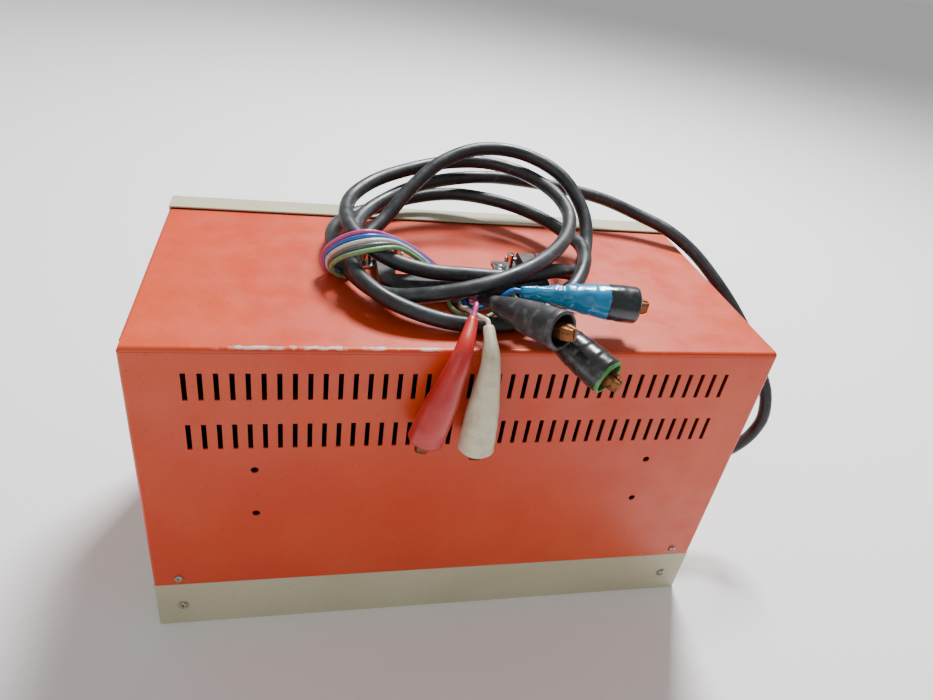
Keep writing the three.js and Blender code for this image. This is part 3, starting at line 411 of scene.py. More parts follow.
# -------- metals and paints
def painted_steel(name, fresh, faded, grime, gloss=0.34, painted_bend_highlight=False):
    """Old enamel on sheet steel: uneven fading, orange peel, dust, fine scratches and chips.

    painted_bend_highlight adds a pale line along the upward-facing part of the back's top bend, left of
    the clips: a painted highlight in the colour of bare metal."""
    s = Shader(name, Coat_Weight=0.12, Coat_Roughness=0.2, Specular_IOR_Level=0.45)
    cloudy = s.between(s.noise(7, 5), 0.35, 0.7)
    color = s.mix(cloudy, fresh, faded)
    speckle = s.between(s.noise(260, 2), 0.62, 0.72, 0.0, 0.35)
    color = s.mix(speckle, color, grime)
    streaks = s.noise(55, 3, place=s.stretched((1, 14, 3)))
    color = s.mix(s.between(streaks, 0.62, 0.85, 0.0, 0.22), color, grime)
    scratch = s.spots(24, s.stretched((1, 9, 0.25), (0.3, 0.2, 0.6)))
    thin = s.between(scratch, 0.018, 0.006)
    patchy = s.between(s.noise(11, 2), 0.58, 0.66)
    bare_metal_and_highlight = s.times(thin, patchy)
    chips = s.times(s.between(s.spots(330), 0.11, 0.07), s.between(s.noise(17, 3), 0.6, 0.68))
    bare_metal_and_highlight = s.math("MAXIMUM", bare_metal_and_highlight, chips)
    # On the cover, a pale line along the upward-facing part of the near bend, left of the clips: a painted
    # highlight.
    if painted_bend_highlight:
        across = s.math("ADD", s.axis("y"), s.between(s.noise(90, 3), 0.3, 0.7, -0.0012, 0.0012))
        near_edge = s.times(s.between(across, -0.1222, -0.1234), s.between(across, -0.1268, -0.126))
        stretch = s.times(s.between(s.axis("x"), -0.215, -0.205), s.between(s.axis("x"), -0.03, -0.045))
        broken = s.between(s.noise(60, 4, place=s.stretched((1, 0.2, 1))), 0.42, 0.56, 0.0, 0.75)
        line = s.times(s.times(near_edge, stretch), broken)
        bare_metal_and_highlight = s.math("MAXIMUM", bare_metal_and_highlight, s.times(line, s.between(s.axis("nz"), 0.5, 0.8)))
    # Bare metal of the scratches and chips, and on the cover also the painted highlight along the bend.
    color = s.mix(bare_metal_and_highlight, color, linear(214, 205, 196))
    s.set("Base Color", color)
    rough = s.between(s.noise(34, 4), 0.3, 0.75, gloss, gloss + 0.2)
    s.set("Roughness", rough)
    peel = s.bump(s.noise(420, 2), 0.00012, 0.35)
    s.set("Normal", s.bump(s.noise(5, 2), 0.0012, 0.5, peel))
    return s.material


def plated_metal(name, color, roughness, stain, scale=120, metallic=0.95, grain=0.5):
    """Bright or dull metal with fine streaks, dents and stains."""
    s = Shader(name, Metallic=metallic)
    dirt = s.between(s.noise(scale, 4), 0.48, 0.72)
    s.set("Base Color", s.mix(dirt, color, stain))
    s.rough(scale * 3, 3, roughness, roughness + 0.56 * grain, top=0.75)
    s.set("Normal", s.bump(s.noise(scale * 5, 3), 0.0001, grain))
    return s.material


def moulded(name, color, dusty, roughness=0.42, dust=0.35, grain=900):
    """Moulded plastic or rubber with a fine grain, scuffs, and dust on what faces up."""
    s = Shader(name, Specular_IOR_Level=0.4)
    facing = s.between(s.axis("nz"), 0.1, 0.95)
    settled = s.times(facing, s.between(s.noise(70, 5), 0.35, 0.7, 0.15, dust * 2))
    scuffs = s.times(s.between(s.noise(210, 4, distortion=0.6), 0.6, 0.72), dust)
    s.set("Base Color", s.mix(s.math("MAXIMUM", settled, scuffs), color, dusty))
    s.rough(90, 3, roughness, roughness + 0.25)
    s.set("Normal", s.bump(s.noise(grain, 2), 0.0001, 0.5))
    return s.material


def wound_copper():
    """Enamelled copper wire in level layers, with painted shade between the turns and painted highlight on
    them.
    """
    s = Shader("winding_copper", Metallic=0.7)
    turns = s.node("ShaderNodeTexWave", {"Vector": s.place, "Scale": 95.0}, wave_type="BANDS",
                   bands_direction="Z").outputs["Fac"]
    # The colour runs dark in the grooves between turns and bright on their crowns: painted shade and
    # painted highlight.
    s.set("Base Color", s.mix(turns, linear(88, 38, 22), linear(190, 104, 62)))
    s.rough(60, 3, 0.3, 0.55)
    s.set("Normal", s.bump(turns, 0.0008, 0.8))
    return s.material


def stacked_steel():
    """Thin transformer sheets on edge, with a little rust."""
    s = Shader("lamination_steel", Metallic=0.6)
    sheets = s.node("ShaderNodeTexWave", {"Vector": s.place, "Scale": 160.0, "Distortion": 0.4},
                    wave_type="BANDS", bands_direction="Y").outputs["Fac"]
    rust = s.between(s.noise(38, 5), 0.5, 0.7)
    s.set("Base Color", s.mix(rust, linear(70, 70, 74), linear(112, 66, 42)))
    s.rough(80, 3, 0.45, 0.75)
    s.set("Normal", s.bump(sheets, 0.0004, 0.7))
    return s.material


def lamp_lens(name, color):
    """A coloured plastic lens with faint mould marks."""
    s = Shader(name, Transmission_Weight=0.35, IOR=1.49, Coat_Weight=0.5)
    s.set("Base Color", s.mix(s.noise(160), color, tuple(0.7 * c for c in color[:3]) + (1.0,)))
    s.rough(120, 3, 0.08, 0.2)
    return s.material


ORANGES = (linear(208, 60, 16), linear(214, 74, 28), linear(120, 46, 24))
CREAMS = (linear(196, 190, 160), linear(186, 178, 148), linear(128, 112, 88))
VERMILION = painted_steel("vermilion_paint", *ORANGES)
# The cover's paint carries a painted highlight along its near bend.
COVER_PAINT = painted_steel("cover_paint", *ORANGES, painted_bend_highlight=True)
CREAM = painted_steel("cream_paint", *CREAMS, gloss=0.42)
ZINC = plated_metal("screw_zinc", linear(176, 172, 160), 0.3, linear(110, 86, 62), 300)
CHROME = plated_metal("bracket_chrome", linear(224, 224, 226), 0.1, linear(176, 170, 162), 40, grain=0.12)
PIN_STEEL = plated_metal("pin_steel", linear(168, 168, 170), 0.28, linear(104, 90, 76), 240)
FRAME_STEEL = plated_metal("frame_steel", linear(126, 128, 132), 0.42, linear(92, 74, 60), 60, 0.8)
HEATSINK = plated_metal("heatsink_aluminium", linear(176, 178, 182), 0.4, linear(120, 120, 122), 90)
DIAL_METAL = plated_metal("dial_aluminium", linear(190, 192, 194), 0.34, linear(150, 150, 150), 140)
JAW_COPPER = plated_metal("jaw_copper", linear(140, 88, 52), 0.34, linear(62, 40, 28), 210, 0.85)
HANDLE_PLASTIC = moulded("handle_plastic", linear(30, 31, 34), linear(92, 90, 88), 0.4, 0.3)
PANEL_BLACK = moulded("panel_black", linear(26, 27, 29), linear(74, 72, 70), 0.38, 0.2)
PHENOLIC = moulded("phenolic", linear(58, 38, 28), linear(104, 84, 68), 0.4, 0.2)
GLAND_RUBBER = moulded("gland_rubber", linear(28, 29, 31), linear(84, 82, 80), 0.5, 0.3)
WINDING = wound_copper()
LAMINATIONS = stacked_steel()
LAMP_GREEN = lamp_lens("lamp_green", linear(40, 170, 82))
LAMP_AMBER = lamp_lens("lamp_amber", linear(240, 150, 30))


# -------- the supply lead
def lead_rubber():
    """Black rubber sheath gone grey with dust and handling, with faint rubbed stretches. The blue-grey on
    its upper side is partly dust and partly a painted sheen.
    """
    s = Shader("lead_rubber", Specular_IOR_Level=0.5)
    # Upward-facing blue-grey: partly dust, partly painted sheen.
    facing = s.between(s.axis("nz"), -0.2, 0.9)
    dust = s.times(facing, s.between(s.noise(38, 6), 0.32, 0.68, 0.1, 0.75))
    color = s.mix(dust, linear(24, 26, 30), linear(74, 78, 82))
    rubbed = s.between(s.noise(150, 4, place=s.stretched((1, 1, 0.5))), 0.6, 0.7, 0.0, 0.3)
    color = s.mix(rubbed, color, linear(96, 96, 94))
    specks = s.between(s.spots(420), 0.12, 0.07, 0.0, 0.6)
    specks = s.times(specks, s.between(s.noise(30), 0.5, 0.6))
    color = s.mix(specks, color, linear(150, 146, 138))
    s.set("Base Color", color)
    s.rough(60, 4, 0.3, 0.52)
    fine = s.bump(s.noise(700, 2), 0.00008, 0.5)
    s.set("Normal", s.bump(s.noise(85, 3), 0.0004, 0.6, fine))
    return s.material


def core_vinyl(name, color, shade):
    """Glossy insulation of one core, a little soiled."""
    s = Shader(name, Coat_Weight=0.3, Coat_Roughness=0.15)
    soil = s.between(s.noise(160, 4), 0.5, 0.72, 0.0, 0.6)
    s.set("Base Color", s.mix(soil, color, shade))
    s.rough(240, 3, 0.28, 0.45)
    s.set("Normal", s.bump(s.noise(500, 2), 0.00008, 0.5))
    return s.material


CORE_COLOURS = {
    "pink": (linear(214, 84, 146), linear(150, 70, 100)),
    "blue": (linear(24, 112, 196), linear(24, 74, 120)),
    "white": (linear(226, 216, 200), linear(160, 140, 120)),
    "grey": (linear(96, 98, 100), linear(62, 62, 64)),
    "green": (linear(120, 168, 112), linear(76, 104, 72)),
}

lead_line = smooth_line(LEAD_ROUTE, 0.0035)
lead = tube_piece("lead", lead_line, CABLE_R, 24, "cabinet", lead_rubber())
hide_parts("supply_cable")

# -------- the insulating boots
BOOT_R = 0.0155
BOOT_CAVITY = 0.062
BOOT_STRAIGHT = 0.063
BOOT_SIDES = 60
BOOT_STEP = 0.0014
BLACK_BAND = 0.027  # black tape over the blue boot, from its mouth to this depth
TAPE_START, TAPE_END = 0.0022, 0.056  # black tape over the green boot
INSIDE_DEPTH = -0.002  # the depth that a boot's material reads on its inside


def boot_axis(clip):
    """A boot's centre line: straight round the jaws, with a bend behind them if the clip hangs."""
    small, mouth = Vector(clip["small"]), Vector(clip["mouth"])
    heading, entry = Vector(clip["heading"]).normalized(), Vector(clip["entry"]).normalized()
    shoulder = mouth - heading * BOOT_STRAIGHT
    reach = (small - shoulder).length / 2
    corners = (shoulder, shoulder - heading * reach, small + entry * reach, small)
    spans = 60
    rear = []
    for i in range(spans + 1):
        t = i / spans
        weights = ((1 - t) ** 3, 3 * t * (1 - t) ** 2, 3 * t ** 2 * (1 - t), t ** 3)
        rear.append(sum((w * c for w, c in zip(weights, corners)), Vector()))
    lengths = [0.0]
    for a, b in zip(rear, rear[1:]):
        lengths.append(lengths[-1] + (b - a).length)

    def at(depth):
        """The point and the forward direction at a depth behind the mouth."""
        if depth <= BOOT_STRAIGHT:
            return mouth - heading * depth, heading
        travelled = min(depth - BOOT_STRAIGHT, lengths[-1])
        i = next(k for k in range(1, len(lengths)) if lengths[k] >= travelled - 1e-9)
        share = (travelled - lengths[i - 1]) / (lengths[i] - lengths[i - 1])
        return rear[i - 1].lerp(rear[i], share), (rear[i - 1] - rear[i]).normalized()

    return at, lengths[-1] + BOOT_STRAIGHT


def along_profile(profile, depth):
    """The radius at a depth of a profile of (depth, radius) pairs, in straight lines between them."""
    for (d0, r0), (d1, r1) in zip(profile, profile[1:]):
        if depth <= d1:
            t = (depth - d0) / (d1 - d0)
            return r0 + (r1 - r0) * t
    return profile[-1][1]


def ripple(angle, depth, scale, seed):
    """A soft random field on a boot's skin, from about -1 to 1."""
    place = Vector((math.cos(angle) * scale, math.sin(angle) * scale, depth * scale * 60))
    return noise.noise(place + Vector((seed * 7.3, seed * 3.1, 0)))


def vinyl_skin(angle, depth):
    """A smooth moulded boot, a little flattened by years in a toolbox."""
    flattened = 0.0004 * max(0.0, math.cos(2 * angle)) * math.exp(-depth / 0.03)
    return 0.0003 * ripple(angle, depth, 1.2, 1) - flattened


def creased_skin(angle, depth):
    """An old soft boot with long creases that fade towards both ends, and a swollen lip."""
    middle = math.exp(-((depth - 0.05) / 0.03) ** 2)
    folds = -0.0009 * middle * max(0.0, math.sin(2 * angle + 1.1 + depth * 9)) ** 3
    lip = 0.0005 * math.exp(-(depth / 0.003) ** 2)
    return folds + lip + 0.0005 * ripple(angle, depth, 1.5, 2)


def rubber_skin(angle, depth):
    """A heavy rubber boot with a thick rolled rim."""
    rim = 0.0008 * (1 if depth < 0.0055 else math.exp(-((depth - 0.0055) / 0.0008) ** 2))
    return rim + 0.00035 * ripple(angle, depth, 1.3, 3)


def wrap_ridge(angle, depth, pitch, height, seed):
    """Overlapping turns of insulating tape: each turn lies a step proud of the one before."""
    lap = 0.0015 * ripple(angle, depth, 0.8, seed)
    turn = ((depth + lap) / pitch + angle / TAU) % 1.0
    return height * (1 - turn) ** 1.5 + 0.3 * height * ripple(angle * 2, depth, 3.0, seed + 1)


def blue_tape_skin(angle, depth):
    """Blue tape wound over the boot, wrinkled, with a band of black tape at the mouth."""
    if depth < BLACK_BAND:
        return 0.0009 + 0.00025 * ripple(angle, depth, 2.5, 5)
    lumps = 0.0007 * ripple(angle, depth, 1.4, 6)
    pinch = -0.0012 * math.exp(-((depth - 0.066) / 0.002) ** 2)
    return wrap_ridge(angle, depth, 0.017, 0.0007, 7) + lumps + pinch


def black_tape_skin(angle, depth):
    """Shiny black tape wound over a green boot, whose lip shows at the mouth and skin at the back."""
    if depth < TAPE_START or depth > TAPE_END:
        return 0.0002 * ripple(angle, depth, 1.4, 8)
    edge = min(1.0, (depth - TAPE_START) / 0.001, (TAPE_END - depth) / 0.001)
    return edge * (0.0005 + wrap_ridge(angle, depth, 0.013, 0.0006, 9))


def boot_material(name, color, worn, gloss, marks=0.4, coat=0.2, second=None):
    """Old vinyl or tape. second is (colour, list of (from, to) depths) where another one shows."""
    s = Shader(name, Coat_Weight=coat, Coat_Roughness=0.12)
    depth = s.value("depth")
    base = s.mix(s.between(s.noise(28, 4), 0.35, 0.7), color, tuple(0.82 * c for c in color[:3]) + (1.0,))
    if second is not None:
        other, places = second
        ragged = s.math("ADD", depth, s.between(s.noise(120, 3), 0.3, 0.7, -0.0006, 0.0006))
        for low, high in places:
            inside = s.times(s.between(ragged, low - 0.0002, low + 0.0002),
                             s.between(ragged, high + 0.0002, high - 0.0002))
            base = s.mix(inside, base, other)
    soil = s.between(s.noise(95, 6), 0.48, 0.7, 0.0, marks)
    base = s.mix(soil, base, worn)
    nicks = s.times(s.between(s.spots(380), 0.13, 0.06), s.between(s.noise(50, 2), 0.56, 0.62))
    base = s.mix(nicks, base, linear(48, 40, 34))
    s.set("Base Color", base)
    s.rough(70, 4, gloss, gloss + 0.18)
    fine = s.bump(s.noise(620, 2), 0.00008, 0.5)
    s.set("Normal", s.bump(s.noise(120, 3), 0.0003, 0.5, fine))
    return s


def scuffed_red():
    """The red boot's vinyl, with a dark scuff on one side near the mouth."""
    s = boot_material("boot_red", linear(206, 40, 38), linear(156, 50, 44), 0.26, 0.25, 0.35)
    depth, angle = s.value("depth"), s.value("turn")
    spot = s.times(s.between(depth, 0.010, 0.014), s.between(depth, 0.026, 0.021))
    side = s.times(s.between(angle, SCUFF_TURN - 0.035, SCUFF_TURN - 0.02),
                   s.between(angle, SCUFF_TURN + 0.035, SCUFF_TURN + 0.02))
    torn = s.between(s.noise(260, 4, distortion=1.0), 0.47, 0.53)
    mask = s.times(s.times(spot, side), torn)
    color = s.surface.inputs["Base Color"].links[0].from_socket
    s.set("Base Color", s.mix(mask, color, linear(44, 36, 36)))
    return s.material


SCUFF_TURN = 0.72
GREEN = linear(58, 132, 52)
BLACK_TAPE = linear(24, 25, 27)
BOOTS = {
    "red": (scuffed_red(), vinyl_skin),
    "blue": (boot_material("boot_blue", linear(10, 134, 186), linear(30, 92, 124), 0.16, 0.3, 0.5,
                           (BLACK_TAPE, [(-0.01, BLACK_BAND)])).material, blue_tape_skin),
    "white": (boot_material("boot_white", linear(222, 212, 182), linear(176, 156, 122), 0.4, 0.4).material,
              creased_skin),
    "black": (boot_material("boot_black", linear(38, 39, 42), linear(98, 98, 98), 0.4, 0.7).material,
              rubber_skin),
    "green": (boot_material("boot_green", BLACK_TAPE, linear(92, 92, 92), 0.2, 0.35, 0.45,
                            (GREEN, [(-0.01, TAPE_START), (TAPE_END, 0.2)])).material, black_tape_skin),
}


def make_boot(clip):
    """The insulating boot: a hollow cone with its own skin, swept along its bent centre line."""
    at, length = boot_axis(clip)
    hinge = Vector(clip["hinge"])
    material, skin = BOOTS[clip["name"]]
    outside = [(0, BOOT_R), (0.015, BOOT_R), (0.04, 0.9 * BOOT_R), (0.058, 0.74 * BOOT_R),
               (length - 0.012, 0.0057), (length - 0.002, 0.0049), (length, 0.0042)]
    inside = [(0, 0.0133), (0.015, 0.0133), (0.04, 0.0117), (0.056, 0.0096), (BOOT_CAVITY, 0.008)]
    stations = []
    count = round(BOOT_CAVITY / BOOT_STEP)
    for i in range(count, -1, -1):
        depth = BOOT_CAVITY * i / count
        stations.append((depth, along_profile(inside, depth), False))
    count = round(length / BOOT_STEP)
    for i in range(count + 1):
        depth = length * i / count
        round_lip = 0.0009 * max(0.0, 1 - depth / 0.0009) ** 2
        stations.append((depth, along_profile(outside, depth) - round_lip, True))
    vertices, depths, turns = [], [], []
    for depth, radius, outer in stations:
        point, tangent = at(depth)
        across = hinge.cross(tangent).normalized()
        along = across.cross(tangent)
        for j in range(BOOT_SIDES):
            angle = TAU * j / BOOT_SIDES
            reach = radius + (skin(angle, depth) if outer else 0.0)
            vertices.append(point + (across * math.cos(angle) + along * math.sin(angle)) * reach)
            depths.append(depth if outer else INSIDE_DEPTH)
            turns.append(j / BOOT_SIDES)
    vertices += [at(BOOT_CAVITY)[0], at(length)[0]]
    depths += [INSIDE_DEPTH, length]
    turns += [0.0, 0.0]
    faces = closed_rings(len(stations), BOOT_SIDES)
    boot = new_piece(f"{clip['name']}_boot_skin", vertices, faces, "cabinet", material,
                     attributes={"depth": depths, "turn": turns})
    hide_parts(f"{clip['name']}_boot")
    return boot


# -------- the jaws
JAW_BACK = -0.022
JAW_TIP = 0.011
JAW_HALF = 0.0055
JAW_WALL = 0.0011
PIVOT_BACK = -0.028
TOOTH_PITCH = 0.0024


def jaw_frame(clip):
    """x runs out of the mouth, y the way the moving jaw opens and z along the hinge."""
    out = Vector(clip["heading"]).normalized()
    opens = Vector(clip["hinge"]).cross(out).normalized()
    axes = Matrix((out, opens, out.cross(opens))).transposed().to_4x4()
    return Matrix.Translation(Vector(clip["mouth"])) @ axes


def jaw_channel(side):
    """A pressed channel with toothed edges that closes down at the nose. side is 1 or -1 along y."""
    heights = [(JAW_BACK, 0.0052), (-0.012, 0.0063), (0.002, 0.0064), (0.007, 0.0056), (JAW_TIP, 0.0034)]
    count = 72
    section = 13
    vertices = []
    for i in range(count + 1):
        x = JAW_BACK + (JAW_TIP - JAW_BACK) * i / count
        top = along_profile(heights, x)
        half = JAW_HALF - 0.0006 * max(0.0, (x - 0.004) / 0.007)
        bite = abs((x / TOOTH_PITCH) % 1.0 - 0.5) * 2 if x > -0.018 else 0.0
        low = 0.0004 + 0.0011 * bite
        corner = 0.0019
        for k in range(section):
            if k == 0 or k == section - 1:
                y, z = low, half
            else:
                turn = (k - 1) / (section - 3) * math.pi
                y = top - corner + corner * math.sin(turn)
                z = half - corner + corner * abs(math.cos(turn))
                if abs(k - (section - 1) / 2) < 1:
                    y, z = top, 0.0
            sign = -1 if k < section // 2 else 1
            vertices.append(Vector((x, side * y, sign * z)))
    faces = []
    for i in range(count):
        for k in range(section - 1):
            a, b = i * section + k, i * section + k + 1
            faces.append((a, b, b + section, a + section))
    start = count * section
    faces.append(tuple(start + k for k in range(section)))
    return vertices, faces


def bent_strap(points, half, thick):
    """A flat strap bent through points of the xy plane, given its width and thickness."""
    vertices, faces = [], []
    for i, (x, y) in enumerate(points):
        before, after = points[max(i - 1, 0)], points[min(i + 1, len(points) - 1)]
        run = Vector((after[0] - before[0], after[1] - before[1])).normalized()
        for sign, z in ((1, -half), (1, half), (-1, half), (-1, -half)):
            vertices.append(Vector((x - run.y * sign * thick / 2, y + run.x * sign * thick / 2, z)))
    for i in range(len(points) - 1):
        for j in range(4):
            k = (j + 1) % 4
            faces.append((4 * i + j, 4 * i + k, 4 * i + 4 + k, 4 * i + 4 + j))
    last = 4 * (len(points) - 1)
    faces += [(3, 2, 1, 0), (last, last + 1, last + 2, last + 3)]
    return vertices, faces


def drum(radius, z0, z1, x, sides=20):
    """A short cylinder along the hinge."""
    vertices = []
    for z in (z0, z1):
        for j in range(sides):
            angle = TAU * j / sides
            vertices.append(Vector((x + radius * math.cos(angle), radius * math.sin(angle), z)))
    faces = [(j, (j + 1) % sides, sides + (j + 1) % sides, sides + j) for j in range(sides)]
    faces += [tuple(reversed(range(sides))), tuple(range(sides, 2 * sides))]
    return vertices, faces


def make_jaw(clip, side):
    """One jaw: the toothed channel, its tail, and the eye or the cheeks and pin at the pivot."""
    kind, body = ("moving", f"{clip['name']}_jaw") if side > 0 else ("fixed", "cabinet")
    tail = [(-0.0205, 0.0038), (-0.026, 0.0034), (-0.033, 0.0036), (-0.040, 0.0048), (-0.047, 0.0060),
            (-0.054, 0.0068)]
    parts = [bent_strap([(x, side * y) for x, y in tail], 0.0039, 0.0016)]
    if side > 0:
        parts.append(drum(0.0040, -0.0038, 0.0038, PIVOT_BACK))
    else:
        for face in (-1, 1):
            z0, z1 = sorted((face * 0.0043, face * JAW_HALF))
            parts.append(drum(0.0036, z0, z1, PIVOT_BACK))
        parts.append(drum(0.0015, -0.0062, 0.0062, PIVOT_BACK, 12))
    placed = jaw_frame(clip)
    name = f"{clip['name']}_{kind}"
    vertices, faces = jaw_channel(side)
    channel = new_piece(f"{name}_jaw_channel", [placed @ v for v in vertices], faces, body, JAW_COPPER)
    sheet = channel.modifiers.new("sheet", "SOLIDIFY")
    sheet.thickness = JAW_WALL
    sheet.offset = 1 if side < 0 else -1
    round_edges(channel, 0.00025)
    vertices, faces = merged(parts)
    rear = new_piece(f"{name}_jaw_rear", [placed @ v for v in vertices], faces, body, JAW_COPPER,
                     smooth=False)
    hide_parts(f"{name}_jaw")
    return [channel, rear]


JAW_TAIL_DEPTH = 0.055


def core_line(core):
    """A core's centre line: its free route, then on inside its boot to the jaws' tails."""
    at, length = boot_axis(core["clip"])
    line = smooth_line(core_route(core), 0.0016)
    steps = round((length - JAW_TAIL_DEPTH) / 0.002)
    line += [at(length + (JAW_TAIL_DEPTH - length) * i / steps)[0] for i in range(steps + 1)]
    return line


for core in CORES:
    clip = core["clip"]
    boot = make_boot(clip)
    jaws = make_jaw(clip, 1) + make_jaw(clip, -1)
    shades = CORE_COLOURS[core["name"]]
    line = core_line(core)
    wire = tube_piece(f"{core['name']}_wire", line, CORE_R, 14, "cabinet",
                      core_vinyl(f"core_{core['name']}", *shades))
    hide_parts(f"{core['name']}_core")

# -------- the case and its fittings
soften("cover", 0.0004, COVER_PAINT)
soften("rear_panel", 0.00025, VERMILION)
soften("base_tray", 0.0005, CREAM)
soften("front_bezel", 0.0009, CREAM, 3)
soften("front_panel", 0.0004, CREAM)
soften("handle", 0.0022, HANDLE_PLASTIC, 4)
for side in ("left", "right"):
    soften(f"handle_bracket_{side}", 0.0005, CHROME)
    soften(f"handle_pin_{side}", 0.0003, PIN_STEEL)


SCREW_SEAT = -0.1273  # just off the back face
GLAND_FACE = 0.2803  # just off the right-hand side
LAMP_FACE, SOCKET_FACE = 0.1533, 0.1436  # where a lamp's rim and a socket's contact start


def make_screw(node):
    """A domed cross-head screw on the back of the case."""
    low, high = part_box(node)
    radius, seat = (high.x - low.x) / 2, SCREW_SEAT
    centre = Vector(((low.x + high.x) / 2, 0, (low.z + high.z) / 2))
    rise = seat - low.y
    rings, sides = 16, 48
    profile = [(0, 0.0088), (0.0019, 0.0088), (0.0019, 0.0), (radius, 0.0)]
    for i in range(1, rings):
        turn = i / rings * math.pi / 2
        profile.append((radius * math.cos(turn), -rise * math.sin(turn)))
    profile.append((0, -rise))
    screw = turned_piece(f"{node}_head", profile, (0, 1, 0), centre + Vector((0, seat, 0)), sides,
                         "cabinet", ZINC)
    slot_half, slot_reach = 0.13 * radius, 0.58 * radius
    for vertex in screw.data.vertices:
        across, up = vertex.co.x - centre.x, vertex.co.z - centre.z
        in_cross = min(abs(across), abs(up)) < slot_half and max(abs(across), abs(up)) < slot_reach
        if in_cross and vertex.co.y < seat - 0.0002:
            vertex.co.y = seat - 0.0003
    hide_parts(node)


for panel in ("rear_panel", "base_tray"):
    for side in ("left", "right"):
        make_screw(f"{panel}_screw_{side}")


def make_gland():
    """The rubber strain relief: a collar, then ribs that thin out towards the lead."""
    low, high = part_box("cable_gland")
    centre = Vector((0, (low.y + high.y) / 2, (low.z + high.z) / 2))
    face = GLAND_FACE
    profile = [(0, low.x), (0.0095, low.x), (0.0095, face), (0.0132, face), (0.014, face + 0.0008),
               (0.014, face + 0.0062), (0.0132, face + 0.007), (0.0114, face + 0.0085)]
    ribs, start = 7, face + 0.0095
    for i in range(ribs):
        station = start + (high.x - 0.001 - start) * i / ribs
        width = (high.x - 0.001 - start) / ribs
        radius = 0.0112 - 0.0026 * i / (ribs - 1)
        groove = radius - 0.0011
        profile += [(radius, station), (radius, station + 0.55 * width),
                    (groove, station + 0.65 * width), (groove, station + 0.9 * width)]
    profile += [(0.0082, high.x), (0, high.x)]
    gland = turned_piece("gland_ribbed", profile, (1, 0, 0), centre, 48, "cabinet", GLAND_RUBBER,
                         smooth=False)
    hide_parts("cable_gland")


make_gland()
soften("gland_nut", 0.0004, PANEL_BLACK)

# -------- the control panel
PAINT_WHITE = moulded("scale_white", linear(226, 224, 212), linear(196, 188, 168), 0.5, 0.1)
PAINT_RED = moulded("needle_red", linear(176, 30, 24), linear(150, 60, 50), 0.4, 0.1)
PRINT_BLACK = moulded("print_black", linear(28, 28, 28), linear(66, 66, 66), 0.5, 0.1)
BRASS = plated_metal("socket_brass", linear(202, 160, 84), 0.26, linear(120, 88, 48), 200)


def window_glass():
    """The clear cover of the meter, with a few wipe marks."""
    s = Shader("meter_window", Transmission_Weight=0.95, IOR=1.46)
    s.set("Base Color", s.mix(s.noise(80), linear(244, 246, 246), linear(232, 236, 236)))
    s.set("Roughness", s.between(s.noise(50, 4), 0.4, 0.7, 0.03, 0.12))
    return s.material


def box_part(x, y, z):
    """The corners and faces of a box from three (low, high) pairs."""
    corners = [Vector((a, b, c)) for a in x for b in y for c in z]
    faces = [(0, 1, 3, 2), (4, 6, 7, 5), (0, 4, 5, 1), (2, 3, 7, 6), (0, 2, 6, 4), (1, 5, 7, 3)]
    return corners, faces


def joined_piece(name, parts, body, material, bevel=0.0):
    """Several simple closed parts as one piece."""
    piece = new_piece(name, *merged(parts), body, material, smooth=False)
    if bevel:
        round_edges(piece, bevel)


# The faces of a bar between two four-sided ends.
BAR_FACES = [(0, 1, 2, 3), (7, 6, 5, 4), (0, 4, 5, 1), (1, 5, 6, 2), (2, 6, 7, 3), (3, 7, 4, 0)]


def ticks(centre, y, inner, outer, long_outer, first, last, count, every, half):
    """Scale marks on an arc in the XZ plane; every so many is a longer one. Angles run from +Z."""
    parts = []
    for i in range(count):
        angle = math.radians(first + (last - first) * i / (count - 1))
        out = Vector((math.sin(angle), 0, math.cos(angle)))
        side = Vector((math.cos(angle), 0, -math.sin(angle)))
        reach = long_outer if i % every == 0 else outer
        corners = []
        for depth in (y, y + 0.0002):
            for radius, sign in ((inner, -1), (inner, 1), (reach, 1), (reach, -1)):
                corners.append(Vector((centre[0], depth, centre[1])) + out * radius + side * half * sign)
        parts.append((corners, BAR_FACES))
    return parts


def make_meter():
    """The ammeter: a white scale with marks and a red needle behind a clear window."""
    low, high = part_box("ammeter")
    x, z = (low.x + high.x) / 2, (low.z + high.z) / 2
    face = high.y - 0.002
    inside = ((x - 0.0366, x + 0.0366), (face + 0.0001, face + 0.0005), (z - 0.0136, z + 0.0316))
    joined_piece("meter_scale", [box_part(*inside)], "cabinet", PAINT_WHITE)
    pivot = (x, z - 0.009)
    marks = ticks(pivot, face + 0.0006, 0.027, 0.030, 0.032, -55, 55, 21, 5, 0.00025)
    joined_piece("meter_marks", marks, "cabinet", PRINT_BLACK)
    needle = ticks(pivot, face + 0.0009, 0.0, 0.029, 0.029, -54.8, -55, 2, 1, 0.0003)[:1]
    joined_piece("meter_needle", needle, "cabinet", PAINT_RED)
    pane = ((x - 0.0368, x + 0.0368), (high.y - 0.0006, high.y - 0.0001), (z - 0.0138, z + 0.0318))
    joined_piece("meter_window", [box_part(*pane)], "cabinet", window_glass())
    soften("ammeter", 0.0012, PANEL_BLACK, 3)


